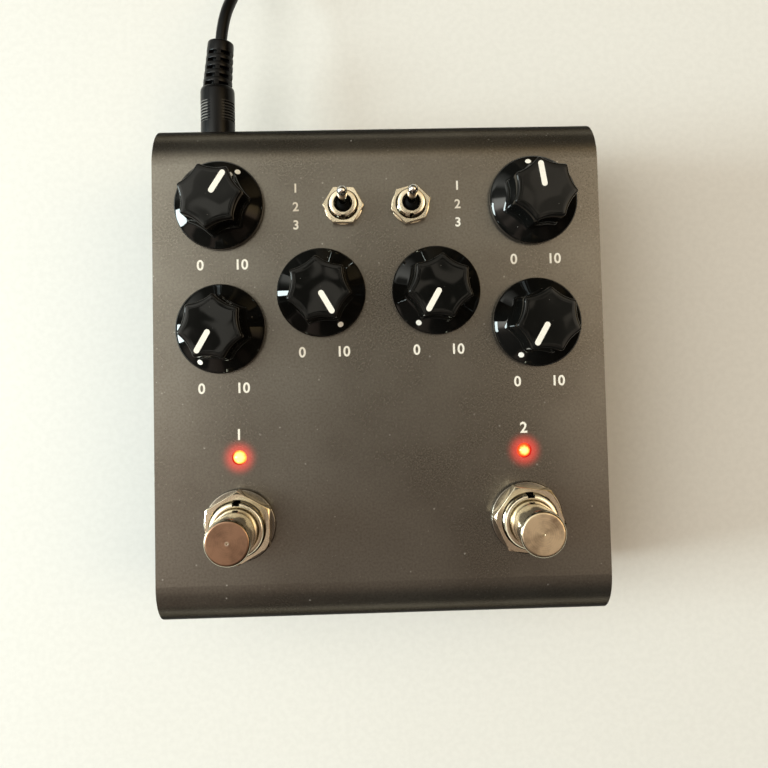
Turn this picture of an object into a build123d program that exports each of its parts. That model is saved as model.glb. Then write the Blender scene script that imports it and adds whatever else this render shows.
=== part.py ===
"""A compact echo pedal: a folded case with six fluted knobs, two toggles, two footswitches,
two lamps, a rear row of sockets, and the supply lead plugged in."""
import os
from math import ceil, cos, pi, radians, sin, sqrt, tan

from build123d import *

# Fits and cutting
RUN_FIT = 0.05
SLIP_FIT = 0.15
SEAM = 0.2
SOFT_GAP = 0.35
OVERRUN = 1.0

# Case: a folded cover over a folded base
CASE_WIDTH = 101.6
CASE_DEPTH = 114.3
CASE_TOP = 44.5
SHEET = 2.0
BEND_RADIUS = 10.0
LIP_DEPTH = 12.0
LIP_BEND = 2.5
SIDE_INSET = 0.8
BASE_BEND = 2.5

# Feet and base screws
FOOT_HEIGHT = 3.0
FOOT_DIAMETER = 11.0
FOOT_DRAFT = 0.9
FOOT_SIDE = 11.0
FOOT_END = 13.0
SCREW_THREAD = 3.0
SCREW_HEAD = 5.6
SCREW_HEAD_HEIGHT = 1.3
SCREW_DRIVE = 1.8
SCREW_DRIVE_DEPTH = 0.8
SCREW_SIDE = 22.0
SCREW_END = 7.5

# Boards
BOARD_DROP = 9.0
BOARD_SHEET = 1.6
BOARD_SIDE = 4.6
BOARD_END = 7.0
BOARD_CORNER = 2.5
JACK_BOARD_DEPTH = 44.0
POST_FLATS = 5.0
POST_INSET = 5.5
HEADER_LENGTH = 25.4
HEADER_DEPTH = 5.0
CHIP_TALL = 1.5
PROCESSOR_WIDTH = 14.0
CONVERTER_WIDTH = 7.0
AMPLIFIER_WIDTH = 5.0
AMPLIFIER_DEPTH = 4.0
CAPACITOR_DIAMETER = 6.3
CAPACITOR_HEIGHT = 7.7
REGULATOR_WIDTH = 6.5
REGULATOR_TALL = 2.3

# Knob rows and columns, from the case's edges
KNOB_SIDE = 15.3
KNOB_REAR = 19.75
KNOB_MIDDLE = 12.9
KNOB_MIDDLE_DROP = 20.1
KNOB_LOW_STEP = 7.65
KNOB_SPREAD = 22.6

# Potentiometers
POT_WIDTH = 9.8
POT_DEPTH = 11.5
POT_WAFER = 3.2
POT_WAFER_STEP = 0.8
POT_THREAD = 7.0
POT_BUSHING = 2.9
POT_SHAFT = 6.0
POT_FLOOR = 2.0
POT_NUT_FLATS = 10.0
POT_NUT_HEIGHT = 1.8
POT_WASHER = 11.4
POT_WASHER_HEIGHT = 0.5
SHAFT_FLAT = 1.5
SHAFT_PLAY = 0.1

# Knobs
KNOB_TOP = 12.5
KNOB_GAP = 0.7
SKIRT_DIAMETER = 20.0
SKIRT_RIM = 1.2
SKIRT_RISE = 2.6
SKIRT_CROWN = 6.0
FLUTES = 7
FLUTE_TIP = 7.5
FLUTE_RADIUS = 10.8
FLUTE_DRAFT = 1.5
KNOB_RECESS = 6.4
KNOB_RECESS_TOP = 3.3
KNOB_BORE_TOP = 9.5
KNOB_EDGE = 0.3
KNOB_TURNS = {
    "top_left": 33,
    "top_right": -9,
    "mid_left": 150,
    "mid_right": -150,
    "low_left": -150,
    "low_right": -150,
}

# Toggle switches
TOGGLE_OFFSET = 7.6
TOGGLE_REAR = 20.3
TOGGLE_WIDTH = 6.9
TOGGLE_DEPTH = 12.7
TOGGLE_FRAME = 2.2
TOGGLE_FRAME_LAP = 0.5
TOGGLE_THREAD = 6.35
TOGGLE_BUSHING = 4.5
TOGGLE_BORE = 3.8
TOGGLE_EDGE = 0.35
TOGGLE_KEY_WIDTH = 1.0
TOGGLE_KEY_DEPTH = 0.5
TOGGLE_NUT_FLATS = 8.0
TOGGLE_NUT_HEIGHT = 2.0
TOGGLE_WASHER = 8.6
TOGGLE_WASHER_HEIGHT = 0.5
TOGGLE_TILT = 12.5
LEVER_SEAT = 1.7
LEVER_ROOT = 1.7
LEVER_TIP = 2.3
LEVER_LENGTH = 7.0
LEVER_TAIL = 1.9
TOGGLE_NUT_TURNS = (-2, 15)

# Lamps
LAMP_SIDE = 18.85
LAMP_BEHIND = 14.8
LAMP_DIAMETER = 3.0
LAMP_FLANGE = 3.8
LAMP_FLANGE_HEIGHT = 1.0
LAMP_HEIGHT = 5.3
LAMP_PROUD = 0.4
LAMP_LEAD = 0.6
LAMP_LEAD_PITCH = 2.54

# Footswitches
SWITCH_FRONT = 23.2
SWITCH_BODY = 17.0
SWITCH_BODY_CORNER = 2.0
SWITCH_THREAD = 12.0
SWITCH_BUSHING = 5.6
SWITCH_EDGE = 0.4
SWITCH_KEY_WIDTH = 1.6
SWITCH_KEY_DEPTH = 0.7
SWITCH_FLOOR = 1.4
SWITCH_WASHER = 16.0
SWITCH_WASHER_HEIGHT = 1.0
SWITCH_NUT_FLATS = 14.0
SWITCH_NUT_HEIGHT = 3.0
SWITCH_NUT_TURNS = (30, -7)
PLUNGER_DIAMETER = 9.6
PLUNGER_TOP = 16.0
PLUNGER_EDGE = 0.7
PLUNGER_DEPTH = 3.0
PLUNGER_MARK = 1.0
PLUNGER_MARK_DEPTH = 0.25
SPRING_OUTER = 7.4
SPRING_WIRE = 0.7

# Sockets in the rear wall
JACK_HEIGHT = 20.0
JACK_SIDE = 12.3
JACK_WIDTH = 15.4
JACK_LENGTH = 24.0
JACK_BODY = 11.5
JACK_CORNER = 1.0
JACK_THREAD = 9.0
JACK_BORE = 6.5
JACK_BORE_DEPTH = 26.0
JACK_PROUD = 3.1
JACK_EDGE = 0.3
JACK_NUT_FLATS = 11.5
JACK_NUT_HEIGHT = 2.0
JACK_WASHER = 13.4
JACK_WASHER_HEIGHT = 0.5
SUPPLY_SIDE = 10.3
SUPPLY_WIDTH = 9.0
SUPPLY_LENGTH = 14.0
SUPPLY_BODY = 11.0
SUPPLY_NOSE = 8.0
SUPPLY_BORE = 6.0
SUPPLY_PIN = 2.0
SUPPLY_PIN_BASE = 2.5
SUPPLY_PIN_SHORT = 1.0

# Supply lead
PLUG_BODY = 16.6
PLUG_DIAMETER = 8.8
PLUG_EDGE = 0.6
PLUG_SHOULDER = 1.4
PLUG_BARREL = 5.5
PLUG_BARREL_BORE = 2.1
PLUG_BARREL_LENGTH = 9.5
GRIP_COUNT = 7
GRIP_FIRST = 7.1
GRIP_PITCH = 0.76
GRIP_WIDTH = 0.38
GRIP_DEPTH = 0.35
GRIP_STRIP = 3.6
GRIP_ROLL = 9.0
BOOT_LENGTH = 12.0
BOOT_WIDE = 7.6
BOOT_NARROW = 6.7
BOOT_EDGE = 0.6
BOOT_SLOTS = 5
BOOT_SLOT_FIRST = 0.7
BOOT_SLOT_PITCH = 2.06
BOOT_SLOT_WIDTH = 1.0
BOOT_CORE = 4.6
BOOT_RIBS = 6
BOOT_RIB_WIDTH = 1.5
BOOT_RIB_TURN = 36.0
BOOT_LEAN = 5.0
BOOT_ROOT = 0.8
CORD_DIAMETER = 3.1
CORD_SIDES = 8
COIL_PITCH = 3.95
COIL_RADIUS = 19.4
COIL_HALF_TURNS = 5
COIL_LEAVE = 6.6
TIE_SHEET = 0.8
TIE_WIDTH = 4.0

# Nut corners and share tables, chosen by hand
NUT_CHAMFER_SHARE = 0.04
CONTROL_CHIP_SHARES = (
    (-0.16, -0.30),
    (0.24, -0.26),
    (-0.34, 0.02),
    (0.32, 0.02),
    (-0.34, 0.22),
    (0.34, 0.24),
)
JACK_GAP_SHARE = 0.102
CORD_ARC_SHARE = 0.45

# The free cord's route from the end of the plug's boot, chosen by hand
CORD_ROUTE = (
    (0, 0, 0),
    (0.55, 6.3, 0),
    (3.2, 15.0, -3.0),
    (5.8, 23.6, -9.8),
    (8.5, 32.0, -15.6),
    (10.6, 40.5, -17.3),
    (10.6, 48.5, -17.3),
)

# Levels and walls that follow
PANEL_IN = CASE_TOP - SHEET
BASE_TOP = FOOT_HEIGHT + SHEET
REAR_OUT = CASE_DEPTH / 2
REAR_IN = REAR_OUT - SHEET
SIDE_OUT = CASE_WIDTH / 2 - SIDE_INSET
SIDE_IN = SIDE_OUT - SHEET
BOARD_TOP = PANEL_IN - BOARD_DROP
BOARD_LOW = BOARD_TOP - BOARD_SHEET
JACK_BOARD_TOP = JACK_HEIGHT - JACK_BODY / 2
ORIGIN_SHIFT = -JACK_PROUD / 2

# Places that follow
KNOB_COLUMN = CASE_WIDTH / 2 - KNOB_SIDE
KNOB_ROW = REAR_OUT - KNOB_REAR
KNOB_LOW_DROP = KNOB_MIDDLE_DROP + KNOB_LOW_STEP * (KNOB_SPREAD / (KNOB_COLUMN - KNOB_MIDDLE)) ** 2
KNOB_PLACES = {
    "top_left": (-KNOB_COLUMN, KNOB_ROW),
    "top_right": (KNOB_COLUMN, KNOB_ROW),
    "mid_left": (-KNOB_MIDDLE, KNOB_ROW - KNOB_MIDDLE_DROP),
    "mid_right": (KNOB_MIDDLE, KNOB_ROW - KNOB_MIDDLE_DROP),
    "low_left": (-KNOB_COLUMN, KNOB_ROW - KNOB_LOW_DROP),
    "low_right": (KNOB_COLUMN, KNOB_ROW - KNOB_LOW_DROP),
}
TOGGLE_ROW = REAR_OUT - TOGGLE_REAR
SWITCH_ROW = SWITCH_FRONT - REAR_OUT
LAMP_ROW = SWITCH_ROW + LAMP_BEHIND
LAMP_COLUMN = CASE_WIDTH / 2 - LAMP_SIDE
SIDES = {"left": -1, "right": 1}
JACK_FIRST = CASE_WIDTH / 2 - JACK_SIDE
JACK_ROOM = CASE_WIDTH - JACK_SIDE - SUPPLY_SIDE - 3 * JACK_WIDTH - (JACK_WIDTH + SUPPLY_WIDTH) / 2
JACK_PITCH = JACK_WIDTH + JACK_GAP_SHARE * JACK_ROOM
JACK_PLACES = {
    "input_jack": JACK_FIRST,
    "expression_jack": JACK_FIRST - JACK_PITCH,
    "output_jack_left": JACK_FIRST - 2 * JACK_PITCH,
    "output_jack_right": JACK_FIRST - 3 * JACK_PITCH,
}
SUPPLY_PLACE = SUPPLY_SIDE - CASE_WIDTH / 2


def save(name, *shapes):
    """Write one node, moved so that the origin lies under the middle of the object's box."""
    solids = [solid for shape in shapes for solid in (Pos(0, ORIGIN_SHIFT, 0) * shape).solids()]
    export_step(solids[0] if len(solids) == 1 else Compound(solids), f"parts/{name}.step")


def block(x, y, width, depth, low, high):
    """An upright block between two heights."""
    return Pos(x, y, (low + high) / 2) * Box(width, depth, high - low)


def post(x, y, radius, low, high):
    """An upright round bar between two heights."""
    return Pos(x, y, (low + high) / 2) * Cylinder(radius, high - low)


def rod(x, z, radius, near, far):
    """A round bar along Y between two places."""
    return Pos(x, (near + far) / 2, z) * Rot(90, 0, 0) * Cylinder(radius, far - near)


def washer(diameter, bore, height):
    """A flat ring that stands on its origin."""
    return extrude(Circle(diameter / 2) - Circle(bore / 2), height)


def hex_nut(flats, bore, height):
    """A six-sided nut that stands on its origin, with its upper corners turned down."""
    corner = flats / sqrt(3)
    turned = extrude(Circle(corner), height)
    turned = chamfer(turned.edges().group_by(Axis.Z)[-1], flats * NUT_CHAMFER_SHARE)
    nut = extrude(RegularPolygon(corner, 6), height) & turned
    return nut - post(0, 0, bore / 2, -OVERRUN, height + OVERRUN)


def case_outline(depth, low, high, top_radius, low_radius):
    """The case's outline seen from the side, with round corners."""
    outline = Rectangle(depth, high - low)
    outline = fillet(outline.vertices().group_by(Axis.Y)[-1], top_radius)
    outline = fillet(outline.vertices().group_by(Axis.Y)[0], low_radius)
    return Plane.YZ * Pos(0, (low + high) / 2) * outline


def screw_places():
    """The four base screws, each through a lip of the cover."""
    x = CASE_WIDTH / 2 - SCREW_SIDE
    y = REAR_OUT - SCREW_END
    return [(sx * x, sy * y) for sx in SIDES.values() for sy in SIDES.values()]


def top_cover():
    """Top, front and rear in one folded sheet, with lips that the base screws into."""
    outer = case_outline(CASE_DEPTH, BASE_TOP, CASE_TOP, BEND_RADIUS, LIP_BEND)
    inner = case_outline(
        CASE_DEPTH - 2 * SHEET, BASE_TOP + SHEET, PANEL_IN, BEND_RADIUS - SHEET, LIP_BEND - SHEET
    )
    cover = extrude(outer, CASE_WIDTH / 2, both=True) - extrude(inner, CASE_WIDTH, both=True)
    mouth = CASE_DEPTH - 2 * LIP_DEPTH
    cover -= block(0, 0, CASE_WIDTH + OVERRUN, mouth, BASE_TOP - OVERRUN, BASE_TOP + SHEET + OVERRUN)
    notch = CASE_WIDTH / 2 - SIDE_IN + BASE_BEND - SHEET + SEAM
    for side in SIDES.values():
        x = side * (CASE_WIDTH - notch + OVERRUN) / 2
        cover -= block(
            x, 0, notch + OVERRUN, CASE_DEPTH - 2 * LIP_BEND, BASE_TOP - OVERRUN, BASE_TOP + SHEET + OVERRUN
        )
    for x, y in screw_places():
        cover -= post(x, y, SCREW_THREAD / 2 + RUN_FIT, BASE_TOP - OVERRUN, BASE_TOP + SHEET + OVERRUN)
    for x, y in KNOB_PLACES.values():
        cover -= panel_hole(x, y, POT_THREAD)
    for side in SIDES.values():
        cover -= panel_hole(side * TOGGLE_OFFSET, TOGGLE_ROW, TOGGLE_THREAD)
        cover -= panel_hole(side * LAMP_COLUMN, LAMP_ROW, LAMP_DIAMETER)
        cover -= panel_hole(side * LAMP_COLUMN, SWITCH_ROW, SWITCH_THREAD)
    for x in JACK_PLACES.values():
        cover -= rod(x, JACK_HEIGHT, JACK_THREAD / 2 + SLIP_FIT, REAR_IN - OVERRUN, REAR_OUT + OVERRUN)
    nose = SUPPLY_NOSE / 2 + SLIP_FIT
    return cover - rod(SUPPLY_PLACE, JACK_HEIGHT, nose, REAR_IN - OVERRUN, REAR_OUT + OVERRUN)


def panel_hole(x, y, diameter):
    """The cut for a round piece that passes up through the top plate."""
    return post(x, y, diameter / 2 + SLIP_FIT, PANEL_IN - OVERRUN, CASE_TOP + OVERRUN)


def base_pan():
    """The underside and both ends in one folded sheet, whose ends fill the cover's outline."""
    depth = CASE_DEPTH - 2 * LIP_BEND
    high = PANEL_IN - SEAM
    outline = Rectangle(2 * SIDE_OUT, high - FOOT_HEIGHT)
    outline = fillet(outline.vertices().group_by(Axis.Y)[0], BASE_BEND)
    hollow = Rectangle(2 * SIDE_IN, high - BASE_TOP)
    hollow = fillet(hollow.vertices().group_by(Axis.Y)[0], BASE_BEND - SHEET)
    section = Pos(0, (high + FOOT_HEIGHT) / 2) * outline - Pos(0, (high + BASE_TOP) / 2) * hollow
    pan = extrude(Plane.XZ * section, depth / 2, both=True)
    crown = case_outline(depth - 2 * SEAM, BASE_TOP, high, BEND_RADIUS - SHEET - SEAM, SEAM)
    wall = extrude(crown, CASE_WIDTH, both=True)
    pan = pan & (wall + block(0, 0, CASE_WIDTH, CASE_DEPTH, FOOT_HEIGHT - OVERRUN, BASE_TOP))
    for x, y in screw_places():
        pan -= post(x, y, SCREW_THREAD / 2 + SLIP_FIT, FOOT_HEIGHT - OVERRUN, BASE_TOP + OVERRUN)
    return pan


def base_screws():
    """Four pan-head screws that hold the base to the cover's lips."""
    screws = []
    for x, y in screw_places():
        head = post(x, y, SCREW_HEAD / 2, FOOT_HEIGHT - SCREW_HEAD_HEIGHT, FOOT_HEIGHT)
        head = fillet(head.edges().group_by(Axis.Z)[0], SCREW_HEAD_HEIGHT / 2)
        low = FOOT_HEIGHT - SCREW_HEAD_HEIGHT
        drive = Pos(x, y, low) * extrude(RegularPolygon(SCREW_DRIVE / sqrt(3), 6), SCREW_DRIVE_DEPTH)
        screws.append(head + post(x, y, SCREW_THREAD / 2, FOOT_HEIGHT, BASE_TOP + SHEET) - drive)
    return screws


def rubber_feet():
    """Four tapered feet under the base."""
    x = CASE_WIDTH / 2 - FOOT_SIDE
    y = REAR_OUT - FOOT_END
    foot = Pos(0, 0, FOOT_HEIGHT / 2) * Cone(FOOT_DIAMETER / 2 - FOOT_DRAFT, FOOT_DIAMETER / 2, FOOT_HEIGHT)
    foot = fillet(foot.edges().group_by(Axis.Z)[0], FOOT_DRAFT / 2)
    return [Pos(sx * x, sy * y, 0) * foot for sx in SIDES.values() for sy in SIDES.values()]


def board(y, depth, top):
    """A circuit board with round corners."""
    outline = RectangleRounded(2 * (SIDE_IN - BOARD_SIDE), depth, BOARD_CORNER)
    return Pos(0, y, top - BOARD_SHEET) * extrude(outline, BOARD_SHEET)


def jack_board_middle():
    """Where the rear board lies from front to rear."""
    return REAR_IN - SEAM - JACK_BOARD_DEPTH / 2


def post_column():
    """How far from the middle each post between the boards stands."""
    return SIDE_IN - BOARD_SIDE - POST_INSET


def board_posts():
    """Hex spacers that tie the rear board to the board above it."""
    y = jack_board_middle() - JACK_BOARD_DEPTH / 2 + POST_INSET
    bar = extrude(RegularPolygon(POST_FLATS / sqrt(3), 6), BOARD_LOW - JACK_BOARD_TOP)
    return [Pos(side * post_column(), y, JACK_BOARD_TOP) * bar for side in SIDES.values()]


def board_header():
    """The pin block that carries the signals between the boards."""
    y = jack_board_middle() - JACK_BOARD_DEPTH / 2 + POST_INSET
    return block(0, y, HEADER_LENGTH, HEADER_DEPTH, JACK_BOARD_TOP, BOARD_LOW)


def control_board_chips():
    """Processor, converter and amplifiers under the main board."""
    width = 2 * (SIDE_IN - BOARD_SIDE)
    depth = 2 * (REAR_IN - BOARD_END)
    sizes = [(PROCESSOR_WIDTH, PROCESSOR_WIDTH), (CONVERTER_WIDTH, CONVERTER_WIDTH)]
    sizes += [(AMPLIFIER_WIDTH, AMPLIFIER_DEPTH)] * (len(CONTROL_CHIP_SHARES) - len(sizes))
    chips = []
    for (share_x, share_y), (chip_width, chip_depth) in zip(CONTROL_CHIP_SHARES, sizes):
        x = share_x * width
        y = share_y * depth
        chips.append(block(x, y, chip_width, chip_depth, BOARD_LOW - CHIP_TALL, BOARD_LOW))
    return chips


def jack_board_parts():
    """The supply's capacitor and regulator, each between the pin block and a post."""
    x = (HEADER_LENGTH / 2 + post_column()) / 2
    front = jack_board_middle() - JACK_BOARD_DEPTH / 2
    y = (front + REAR_IN - JACK_LENGTH) / 2
    low = JACK_BOARD_TOP
    capacitor = post(-x, y, CAPACITOR_DIAMETER / 2, low, low + CAPACITOR_HEIGHT)
    regulator = block(x, y, REGULATOR_WIDTH, REGULATOR_WIDTH, low, low + REGULATOR_TALL)
    return capacitor, regulator


def potentiometer(x, y):
    """A square pot on the main board, with its bushing up through the top plate."""
    can = block(x, y, POT_WIDTH, POT_DEPTH, BOARD_TOP + POT_WAFER, PANEL_IN)
    can = fillet(can.edges().filter_by(Axis.Z), POT_WAFER_STEP)
    width = POT_WIDTH + 2 * POT_WAFER_STEP
    depth = POT_DEPTH + 2 * POT_WAFER_STEP
    wafer = block(x, y, width, depth, BOARD_TOP, BOARD_TOP + POT_WAFER)
    bushing = post(x, y, POT_THREAD / 2, PANEL_IN, CASE_TOP + POT_BUSHING)
    bore = post(x, y, POT_SHAFT / 2 + RUN_FIT, BOARD_TOP + POT_FLOOR, CASE_TOP + POT_BUSHING + OVERRUN)
    return can + wafer + bushing - bore


def d_bar(radius, flat, low, high):
    """A round bar with one flat, for the shaft's end and the knob's bore."""
    bar = post(0, 0, radius, low, high)
    return bar - block(0, -radius, 2 * radius + OVERRUN, 2 * flat, low - OVERRUN, high + OVERRUN)


def pot_shaft(x, y, turn):
    """The turning shaft, round in the bushing and flatted in the knob."""
    low = BOARD_TOP + POT_FLOOR + SHAFT_PLAY
    neck = CASE_TOP + KNOB_RECESS_TOP
    shaft = post(0, 0, POT_SHAFT / 2, low, neck - SHAFT_PLAY)
    shaft += d_bar(POT_SHAFT / 2, SHAFT_FLAT, neck - SHAFT_PLAY, CASE_TOP + KNOB_BORE_TOP - SHAFT_PLAY)
    return Pos(x, y, 0) * Rot(0, 0, -turn) * shaft


def flute_outline(tip):
    """A ring of hollow flutes that meet in sharp ridges, one ridge under the pointer."""
    tips = [Vector(0, tip).rotate(Axis.Z, 360 * i / FLUTES) for i in range(FLUTES + 1)]
    return make_face([RadiusArc(a, b, FLUTE_RADIUS) for a, b in zip(tips, tips[1:])])


def knob(x, y, turn):
    """A fluted knob on a conical skirt, hollow underneath for the pot's nut."""
    low = CASE_TOP + KNOB_GAP
    rim = low + SKIRT_RIM
    crown = rim + SKIRT_RISE
    half = SKIRT_DIAMETER / 2
    profile = Polyline((0, low), (half, low), (half, rim), (SKIRT_CROWN, crown), (0, crown), close=True)
    skirt = revolve(Plane.XZ * make_face(profile), Axis.Z)
    skirt = fillet(skirt.edges().filter_by_position(Axis.Z, rim, rim), SKIRT_RIM / 3)
    height = CASE_TOP + KNOB_TOP - rim
    body = Pos(0, 0, rim) * extrude(flute_outline(FLUTE_TIP), height, taper=FLUTE_DRAFT)
    body = chamfer(body.edges().group_by(Axis.Z)[-1], KNOB_EDGE)
    shape = skirt + body
    shape -= post(0, 0, KNOB_RECESS, low - OVERRUN, CASE_TOP + KNOB_RECESS_TOP)
    floor = CASE_TOP + KNOB_RECESS_TOP - RUN_FIT
    shape -= d_bar(POT_SHAFT / 2 + RUN_FIT, SHAFT_FLAT - RUN_FIT, floor, CASE_TOP + KNOB_BORE_TOP)
    return Pos(x, y, 0) * Rot(0, 0, -turn) * shape


def toggle_switch(x):
    """A small toggle's body and its threaded bushing, with the keyway at the front."""
    body = block(x, TOGGLE_ROW, TOGGLE_WIDTH, TOGGLE_DEPTH, BOARD_TOP, PANEL_IN - TOGGLE_FRAME)
    frame = block(
        x,
        TOGGLE_ROW,
        TOGGLE_WIDTH + TOGGLE_FRAME_LAP,
        TOGGLE_DEPTH + TOGGLE_FRAME_LAP,
        PANEL_IN - TOGGLE_FRAME,
        PANEL_IN,
    )
    top = CASE_TOP + TOGGLE_BUSHING
    bushing = post(x, TOGGLE_ROW, TOGGLE_THREAD / 2, PANEL_IN, top)
    bushing = chamfer(bushing.edges().group_by(Axis.Z)[-1], TOGGLE_EDGE)
    key = block(
        x,
        TOGGLE_ROW - TOGGLE_THREAD / 2,
        TOGGLE_KEY_WIDTH,
        2 * TOGGLE_KEY_DEPTH,
        PANEL_IN + OVERRUN,
        top + OVERRUN,
    )
    floor = top - LEVER_SEAT - LEVER_TAIL
    return body + frame + bushing - key - post(x, TOGGLE_ROW, TOGGLE_BORE / 2, floor, top + OVERRUN)


def toggle_lever(x):
    """A short bat lever on its ball, leaning to the rear."""
    ball = Sphere(TOGGLE_BORE / 2 - RUN_FIT)
    stem = Pos(0, 0, LEVER_LENGTH / 2) * Cone(LEVER_ROOT / 2, LEVER_TIP / 2, LEVER_LENGTH)
    bat = ball + stem + Pos(0, 0, LEVER_LENGTH) * Sphere(LEVER_TIP / 2)
    return Pos(x, TOGGLE_ROW, CASE_TOP + TOGGLE_BUSHING - LEVER_SEAT) * Rot(-TOGGLE_TILT, 0, 0) * bat


def lamp(x):
    """A round-topped lamp in its hole, on two leads from the main board."""
    top = CASE_TOP + LAMP_PROUD
    low = top - LAMP_HEIGHT
    radius = LAMP_DIAMETER / 2
    lens = post(x, LAMP_ROW, radius, low, top - radius) + Pos(x, LAMP_ROW, top - radius) * Sphere(radius)
    lens += post(x, LAMP_ROW, LAMP_FLANGE / 2, low, low + LAMP_FLANGE_HEIGHT)
    for side in SIDES.values():
        place = x + side * LAMP_LEAD_PITCH / 2
        lens += block(place, LAMP_ROW, LAMP_LEAD, LAMP_LEAD, BOARD_TOP, low + LAMP_FLANGE_HEIGHT / 2)
    return lens


def footswitch_body(x):
    """A footswitch's housing and threaded bushing, bored for the plunger and its spring."""
    body = block(x, SWITCH_ROW, SWITCH_BODY, SWITCH_BODY, BOARD_TOP, PANEL_IN)
    body = fillet(body.edges().filter_by(Axis.Z), SWITCH_BODY_CORNER)
    top = CASE_TOP + SWITCH_BUSHING
    bushing = post(x, SWITCH_ROW, SWITCH_THREAD / 2, PANEL_IN, top)
    bushing = chamfer(bushing.edges().group_by(Axis.Z)[-1], SWITCH_EDGE)
    key_face = SWITCH_ROW + SWITCH_THREAD / 2
    key = block(x, key_face, SWITCH_KEY_WIDTH, 2 * SWITCH_KEY_DEPTH, PANEL_IN + OVERRUN, top + OVERRUN)
    bore = post(x, SWITCH_ROW, PLUNGER_DIAMETER / 2 + RUN_FIT, BOARD_TOP + SWITCH_FLOOR, top + OVERRUN)
    return body + bushing - key - bore


def plunger(x):
    """The button that the foot presses, with its turned edge and centre mark."""
    low = PANEL_IN - PLUNGER_DEPTH
    top = CASE_TOP + PLUNGER_TOP
    button = post(x, SWITCH_ROW, PLUNGER_DIAMETER / 2, low, top)
    button = fillet(button.edges().group_by(Axis.Z)[-1], PLUNGER_EDGE)
    return button - Pos(x, SWITCH_ROW, top) * Cone(0, PLUNGER_MARK / 2, 2 * PLUNGER_MARK_DEPTH)


def switch_spring(x):
    """The sleeve that the return spring fills, between the housing's floor and the plunger."""
    low = BOARD_TOP + SWITCH_FLOOR
    ring = washer(SPRING_OUTER, SPRING_OUTER - 2 * SPRING_WIRE, PANEL_IN - PLUNGER_DEPTH - low)
    return Pos(x, SWITCH_ROW, low) * ring


def jack(x):
    """A quarter-inch socket on the rear board, with its bushing out through the rear wall."""
    mouth = REAR_OUT + JACK_PROUD
    low = JACK_BOARD_TOP
    body = block(x, REAR_IN - JACK_LENGTH / 2, JACK_WIDTH, JACK_LENGTH, low, low + JACK_BODY)
    body = chamfer(body.edges().filter_by(Axis.Y).group_by(Axis.Z)[-1], JACK_CORNER)
    bushing = rod(x, JACK_HEIGHT, JACK_THREAD / 2, REAR_IN, mouth)
    bushing = chamfer(bushing.edges().group_by(Axis.Y)[-1], JACK_EDGE)
    return body + bushing - rod(x, JACK_HEIGHT, JACK_BORE / 2, mouth - JACK_BORE_DEPTH, mouth + OVERRUN)


def rear_facing(shape, x, y):
    """Turn an upright ring so that it lies on the rear wall and faces the rear."""
    return Pos(x, y, JACK_HEIGHT) * Rot(-90, 0, 0) * shape


def supply_jack():
    """The barrel socket with its centre pin, its nose flush with the rear wall."""
    low = JACK_BOARD_TOP
    body = block(
        SUPPLY_PLACE, REAR_IN - SUPPLY_LENGTH / 2, SUPPLY_WIDTH, SUPPLY_LENGTH, low, low + SUPPLY_BODY
    )
    nose = rod(SUPPLY_PLACE, JACK_HEIGHT, SUPPLY_NOSE / 2, REAR_IN, REAR_OUT)
    back = REAR_IN - SUPPLY_LENGTH + SUPPLY_PIN_BASE
    bore = rod(SUPPLY_PLACE, JACK_HEIGHT, SUPPLY_BORE / 2, back, REAR_OUT + OVERRUN)
    pin = rod(SUPPLY_PLACE, JACK_HEIGHT, SUPPLY_PIN / 2, back, REAR_OUT - SUPPLY_PIN_SHORT)
    return body + nose - bore + pin


def barrel_plug():
    """A moulded barrel plug: barrel to -Y, ribbed grip, slotted boot to +Y."""
    body = rod(0, 0, PLUG_DIAMETER / 2, 0, PLUG_BODY)
    body = fillet(body.edges().group_by(Axis.Y)[0], PLUG_EDGE)
    body = fillet(body.edges().group_by(Axis.Y)[-1], PLUG_SHOULDER)
    for i in range(GRIP_COUNT):
        body -= Pos(0, GRIP_FIRST + i * GRIP_PITCH, 0) * Rot(-90, 0, 0) * grip_groove()
    boot = Pos(0, BOOT_LENGTH / 2, 0) * Rot(-90, 0, 0) * Cone(BOOT_WIDE / 2, BOOT_NARROW / 2, BOOT_LENGTH)
    boot = fillet(boot.edges().group_by(Axis.Y)[-1], BOOT_EDGE) + rod(0, 0, BOOT_WIDE / 2, -BOOT_ROOT, 0)
    for i in range(BOOT_SLOTS):
        high = BOOT_SLOT_FIRST + i * BOOT_SLOT_PITCH
        low = high - BOOT_SLOT_WIDTH if i else -BOOT_ROOT
        boot -= Pos(0, low, 0) * Rot(-90, 0, 0) * boot_slots(high - low)
    boot = Pos(0, PLUG_BODY, 0) * Rot(0, 0, -BOOT_LEAN) * boot
    barrel = rod(0, 0, PLUG_BARREL / 2, -PLUG_BARREL_LENGTH, 0)
    barrel -= rod(0, 0, PLUG_BARREL_BORE / 2, -PLUG_BARREL_LENGTH - OVERRUN, -OVERRUN)
    return body + boot + barrel


def grip_groove():
    """One groove of the grip on both sides of a plug, up to plain strips, to be cut away."""
    ring = Circle(PLUG_DIAMETER) - Circle(PLUG_DIAMETER / 2 - GRIP_DEPTH)
    ring -= Rot(0, 0, GRIP_ROLL) * Rectangle(GRIP_STRIP, 2 * PLUG_DIAMETER)
    return extrude(ring, GRIP_WIDTH)


def boot_slots(height):
    """One row of slots round the boot, parted by its ribs, to be cut away."""
    ring = Circle(BOOT_WIDE) - Circle(BOOT_CORE / 2)
    for i in range(BOOT_RIBS):
        ring -= Rot(0, 0, BOOT_RIB_TURN + 360 * i / BOOT_RIBS) * Pos(BOOT_WIDE / 2) * Rectangle(
            2 * BOOT_WIDE, BOOT_RIB_WIDTH
        )
    return extrude(ring, height)


def boot_end():
    """Where the cord leaves a plug, in the plug's own frame."""
    lean = radians(BOOT_LEAN)
    return Vector(BOOT_LENGTH * sin(lean), PLUG_BODY + BOOT_LENGTH * cos(lean), 0)


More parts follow.
